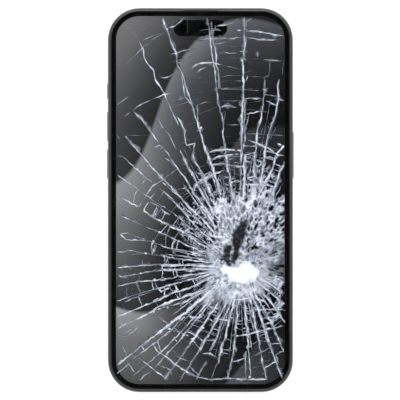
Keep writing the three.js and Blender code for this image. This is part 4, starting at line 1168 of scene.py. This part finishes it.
def clear_glass():
    """Whole glass with faint smears."""
    material = new_material("clear_glass", shade(1.0), SMEAR_ROUGHNESS[0])
    shader = shader_of(material)
    shader.inputs["Transmission Weight"].default_value = 1.0
    shader.inputs["IOR"].default_value = 1.5
    tree = material.node_tree
    place = node(tree, "ShaderNodeTexCoord")
    smears = node(tree, "ShaderNodeTexNoise", Scale=90.0, Detail=5.0)
    wire(tree, place, "Object", smears, "Vector")
    wire(tree, remapped(tree, smears, "Fac", SMEAR_SPAN, SMEAR_ROUGHNESS), "Result", shader, "Roughness")
    return material


def frosted_glass():
    """Broken glass, as white as the mesh's tone says, with a fine grain."""
    material = new_material("frosted_crack", shade(1.0), roughness=0.6, specular=0.12)
    tree = material.node_tree
    place = node(tree, "ShaderNodeTexCoord")
    speckle = node(tree, "ShaderNodeTexNoise", Scale=1800.0, Detail=3.0)
    tone = node(tree, "ShaderNodeAttribute", attribute_name="tone")
    tint = ramp(tree, FROST_COLORS)
    wire(tree, place, "Object", speckle, "Vector")
    dull = remapped(tree, speckle, "Fac", FROST_SPAN, FROST_DULLING)
    wire(tree, *calculated(tree, "MULTIPLY", (dull, "Result"), (tone, "Fac")), tint, "Fac")
    wire(tree, tint, "Color", shader_of(material), "Base Color")
    return material


def screen_picture():
    """A lit picture of soft grey folds, dark round the impact, where the panel is dead."""
    material = new_material("screen_picture", PANEL_COLOR, roughness=0.25)
    shader = shader_of(material)
    tree = material.node_tree
    place = node(tree, "ShaderNodeTexCoord")
    axes = node(tree, "ShaderNodeSeparateXYZ")
    wire(tree, place, "Object", axes, "Vector")

    def slope(by_x, by_y):
        """A value that rises evenly across the picture."""
        x_part = calculated(tree, "MULTIPLY", (axes, "X"), by_x)
        y_part = calculated(tree, "MULTIPLY", (axes, "Y"), by_y)
        return calculated(tree, "ADD", x_part, y_part)

    folds = slope(*FOLD_SLOPE)
    for wave_slope, height in FOLD_WAVES:
        wave = calculated(tree, "SINE", slope(*wave_slope))
        folds = calculated(tree, "ADD", folds, calculated(tree, "MULTIPLY", wave, height))
    sheet = calculated(tree, "FRACT", calculated(tree, "ADD", folds, FOLD_SHIFT))
    fold_shade = ramp(tree, greys(FOLD_SHADES))
    wire(tree, *sheet, fold_shade, "Fac")
    upper = remapped(tree, axes, "Y", UPPER_SPAN, UPPER_LEVELS, interpolation_type="SMOOTHSTEP")
    level = ramp(tree, LIGHT_COLORS)
    wire(tree, *calculated(tree, "ADD", slope(*LIGHT_SLOPE), (upper, "Result")), level, "Fac")
    picture = multiplied(tree, (level, "Color"), (fold_shade, "Color"))

    distance = node(tree, "ShaderNodeVectorMath", operation="DISTANCE")
    distance.inputs[1].default_value = (*(BLOW * MM), PANEL_HIGH.z)
    wire(tree, place, "Object", distance, 0)
    alive = remapped(tree, distance, "Value", DEAD_SPAN, DEAD_LEVELS, interpolation_type="SMOOTHSTEP")
    wire(tree, *multiplied(tree, picture, (alive, "Result")), shader, "Emission Color")
    shader.inputs["Emission Strength"].default_value = 1.0
    return material


def slot_materials():
    """One procedural material for each of the record's slots but the broken glass."""
    made = {name: grained(name, **look) for name, look in SLOT_LOOKS.items()}
    made["picture"] = screen_picture()
    return made


def dress_cad_nodes(materials):
    """Gives each CAD node whose slot has a material here that material, and smooth rounded stretches."""
    for entry in frame["record"]["subparts"]:
        obj = NODES[entry["node"]]
        if entry["material_slot"] not in materials:
            continue
        obj.data.materials.clear()
        obj.data.materials.append(materials[entry["material_slot"]])
        if "custom_normal" in obj.data.attributes:
            obj.data.attributes.remove(obj.data.attributes["custom_normal"])
        obj.data.polygons.foreach_set("use_smooth", [True] * len(obj.data.polygons))
        weld = obj.modifiers.new("weld", "WELD")
        weld.merge_threshold = WELD_GAP
        split = obj.modifiers.new("sharp_edges", "EDGE_SPLIT")
        split.split_angle = SHARP_ANGLE
        split.use_edge_sharp = False
        level = obj.modifiers.new("flat_faces_stay_flat", "WEIGHTED_NORMAL")
        level.keep_sharp = False


# Stage: floor, soft light and camera

FLOOR_HALF = 4.0
FLOOR_HEIGHT = -0.0003
FLOOR_SHADE = 0.9
FLOOR_GLOW = 0.5
RING_OF_LIGHT = [(0.0, 0.35), (0.62, 0.35), (0.72, 1.95), (0.86, 1.95), (0.95, 0.03), (1.0, 0.01)]
TOP_END_GAIN = 5.0
TOP_END_POWER = 2.0
LENS = 200.0
SENSOR = 36.0


def floor():
    """A white floor that glows a little where it is seen, but doesn't light the phone."""
    mesh = bpy.data.meshes.new("floor")
    signs = ((-1, -1), (1, -1), (1, 1), (-1, 1))
    corners = [(x * FLOOR_HALF, y * FLOOR_HALF, FLOOR_HEIGHT) for x, y in signs]
    mesh.from_pydata(corners, [], [(0, 1, 2, 3)])
    obj = bpy.data.objects.new("floor", mesh)
    bpy.context.scene.collection.objects.link(obj)
    material = new_material("floor_paint", shade(FLOOR_SHADE), roughness=0.9, specular=0.0)
    mesh.materials.append(material)
    shader = shader_of(material)
    shader.inputs["Emission Color"].default_value = (*shade(1.0), 1)
    tree = material.node_tree
    path = node(tree, "ShaderNodeLightPath")
    direct = calculated(tree, "MAXIMUM", (path, "Is Camera Ray"), (path, "Is Glossy Ray"))
    seen = calculated(tree, "MAXIMUM", direct, (path, "Is Transmission Ray"))
    wire(tree, *calculated(tree, "MULTIPLY", seen, FLOOR_GLOW), shader, "Emission Strength")


def world():
    """A soft ring of light, a little stronger at the phone's top end, in dim surroundings.

    The opening overhead is dark, so that the glass is dark seen from above.
    """
    made = bpy.data.worlds.new("studio")
    bpy.context.scene.world = made
    made.use_nodes = True
    tree = made.node_tree
    background = tree.nodes["Background"]
    place = node(tree, "ShaderNodeTexCoord")
    axes = node(tree, "ShaderNodeSeparateXYZ")
    level = ramp(tree, greys(RING_OF_LIGHT))
    wire(tree, place, "Generated", axes, "Vector")
    wire(tree, axes, "Z", level, "Fac")
    wire(tree, level, "Color", background, "Color")

    towards_top = calculated(tree, "MULTIPLY", (axes, "Y"), (axes, "Z"))
    top_end = calculated(tree, "POWER", calculated(tree, "MAXIMUM", towards_top, 0.0), TOP_END_POWER)
    wire(tree, *calculated(tree, "MULTIPLY_ADD", top_end, TOP_END_GAIN, 1.0), background, "Strength")


def camera():
    """Looks straight down, from so far that the middle of the band has the photograph's scale."""
    data = bpy.data.cameras.new("camera")
    data.lens = LENS
    data.sensor_width = SENSOR
    obj = bpy.data.objects.new("camera", data)
    width = PIXELS / PIXELS_PER_MM * MM
    band_middle = CAD_BOX[1][2] / 2
    middle = photo((PIXELS / 2, PIXELS / 2))
    obj.location = (middle[0] * MM, middle[1] * MM, band_middle + width * LENS / SENSOR)
    bpy.context.scene.collection.objects.link(obj)
    bpy.context.scene.camera = obj


dress_cad_nodes(slot_materials())
broken_glass(clear_glass(), frosted_glass())
floor()
world()
camera()
bpy.context.scene.view_settings.view_transform = "Standard"
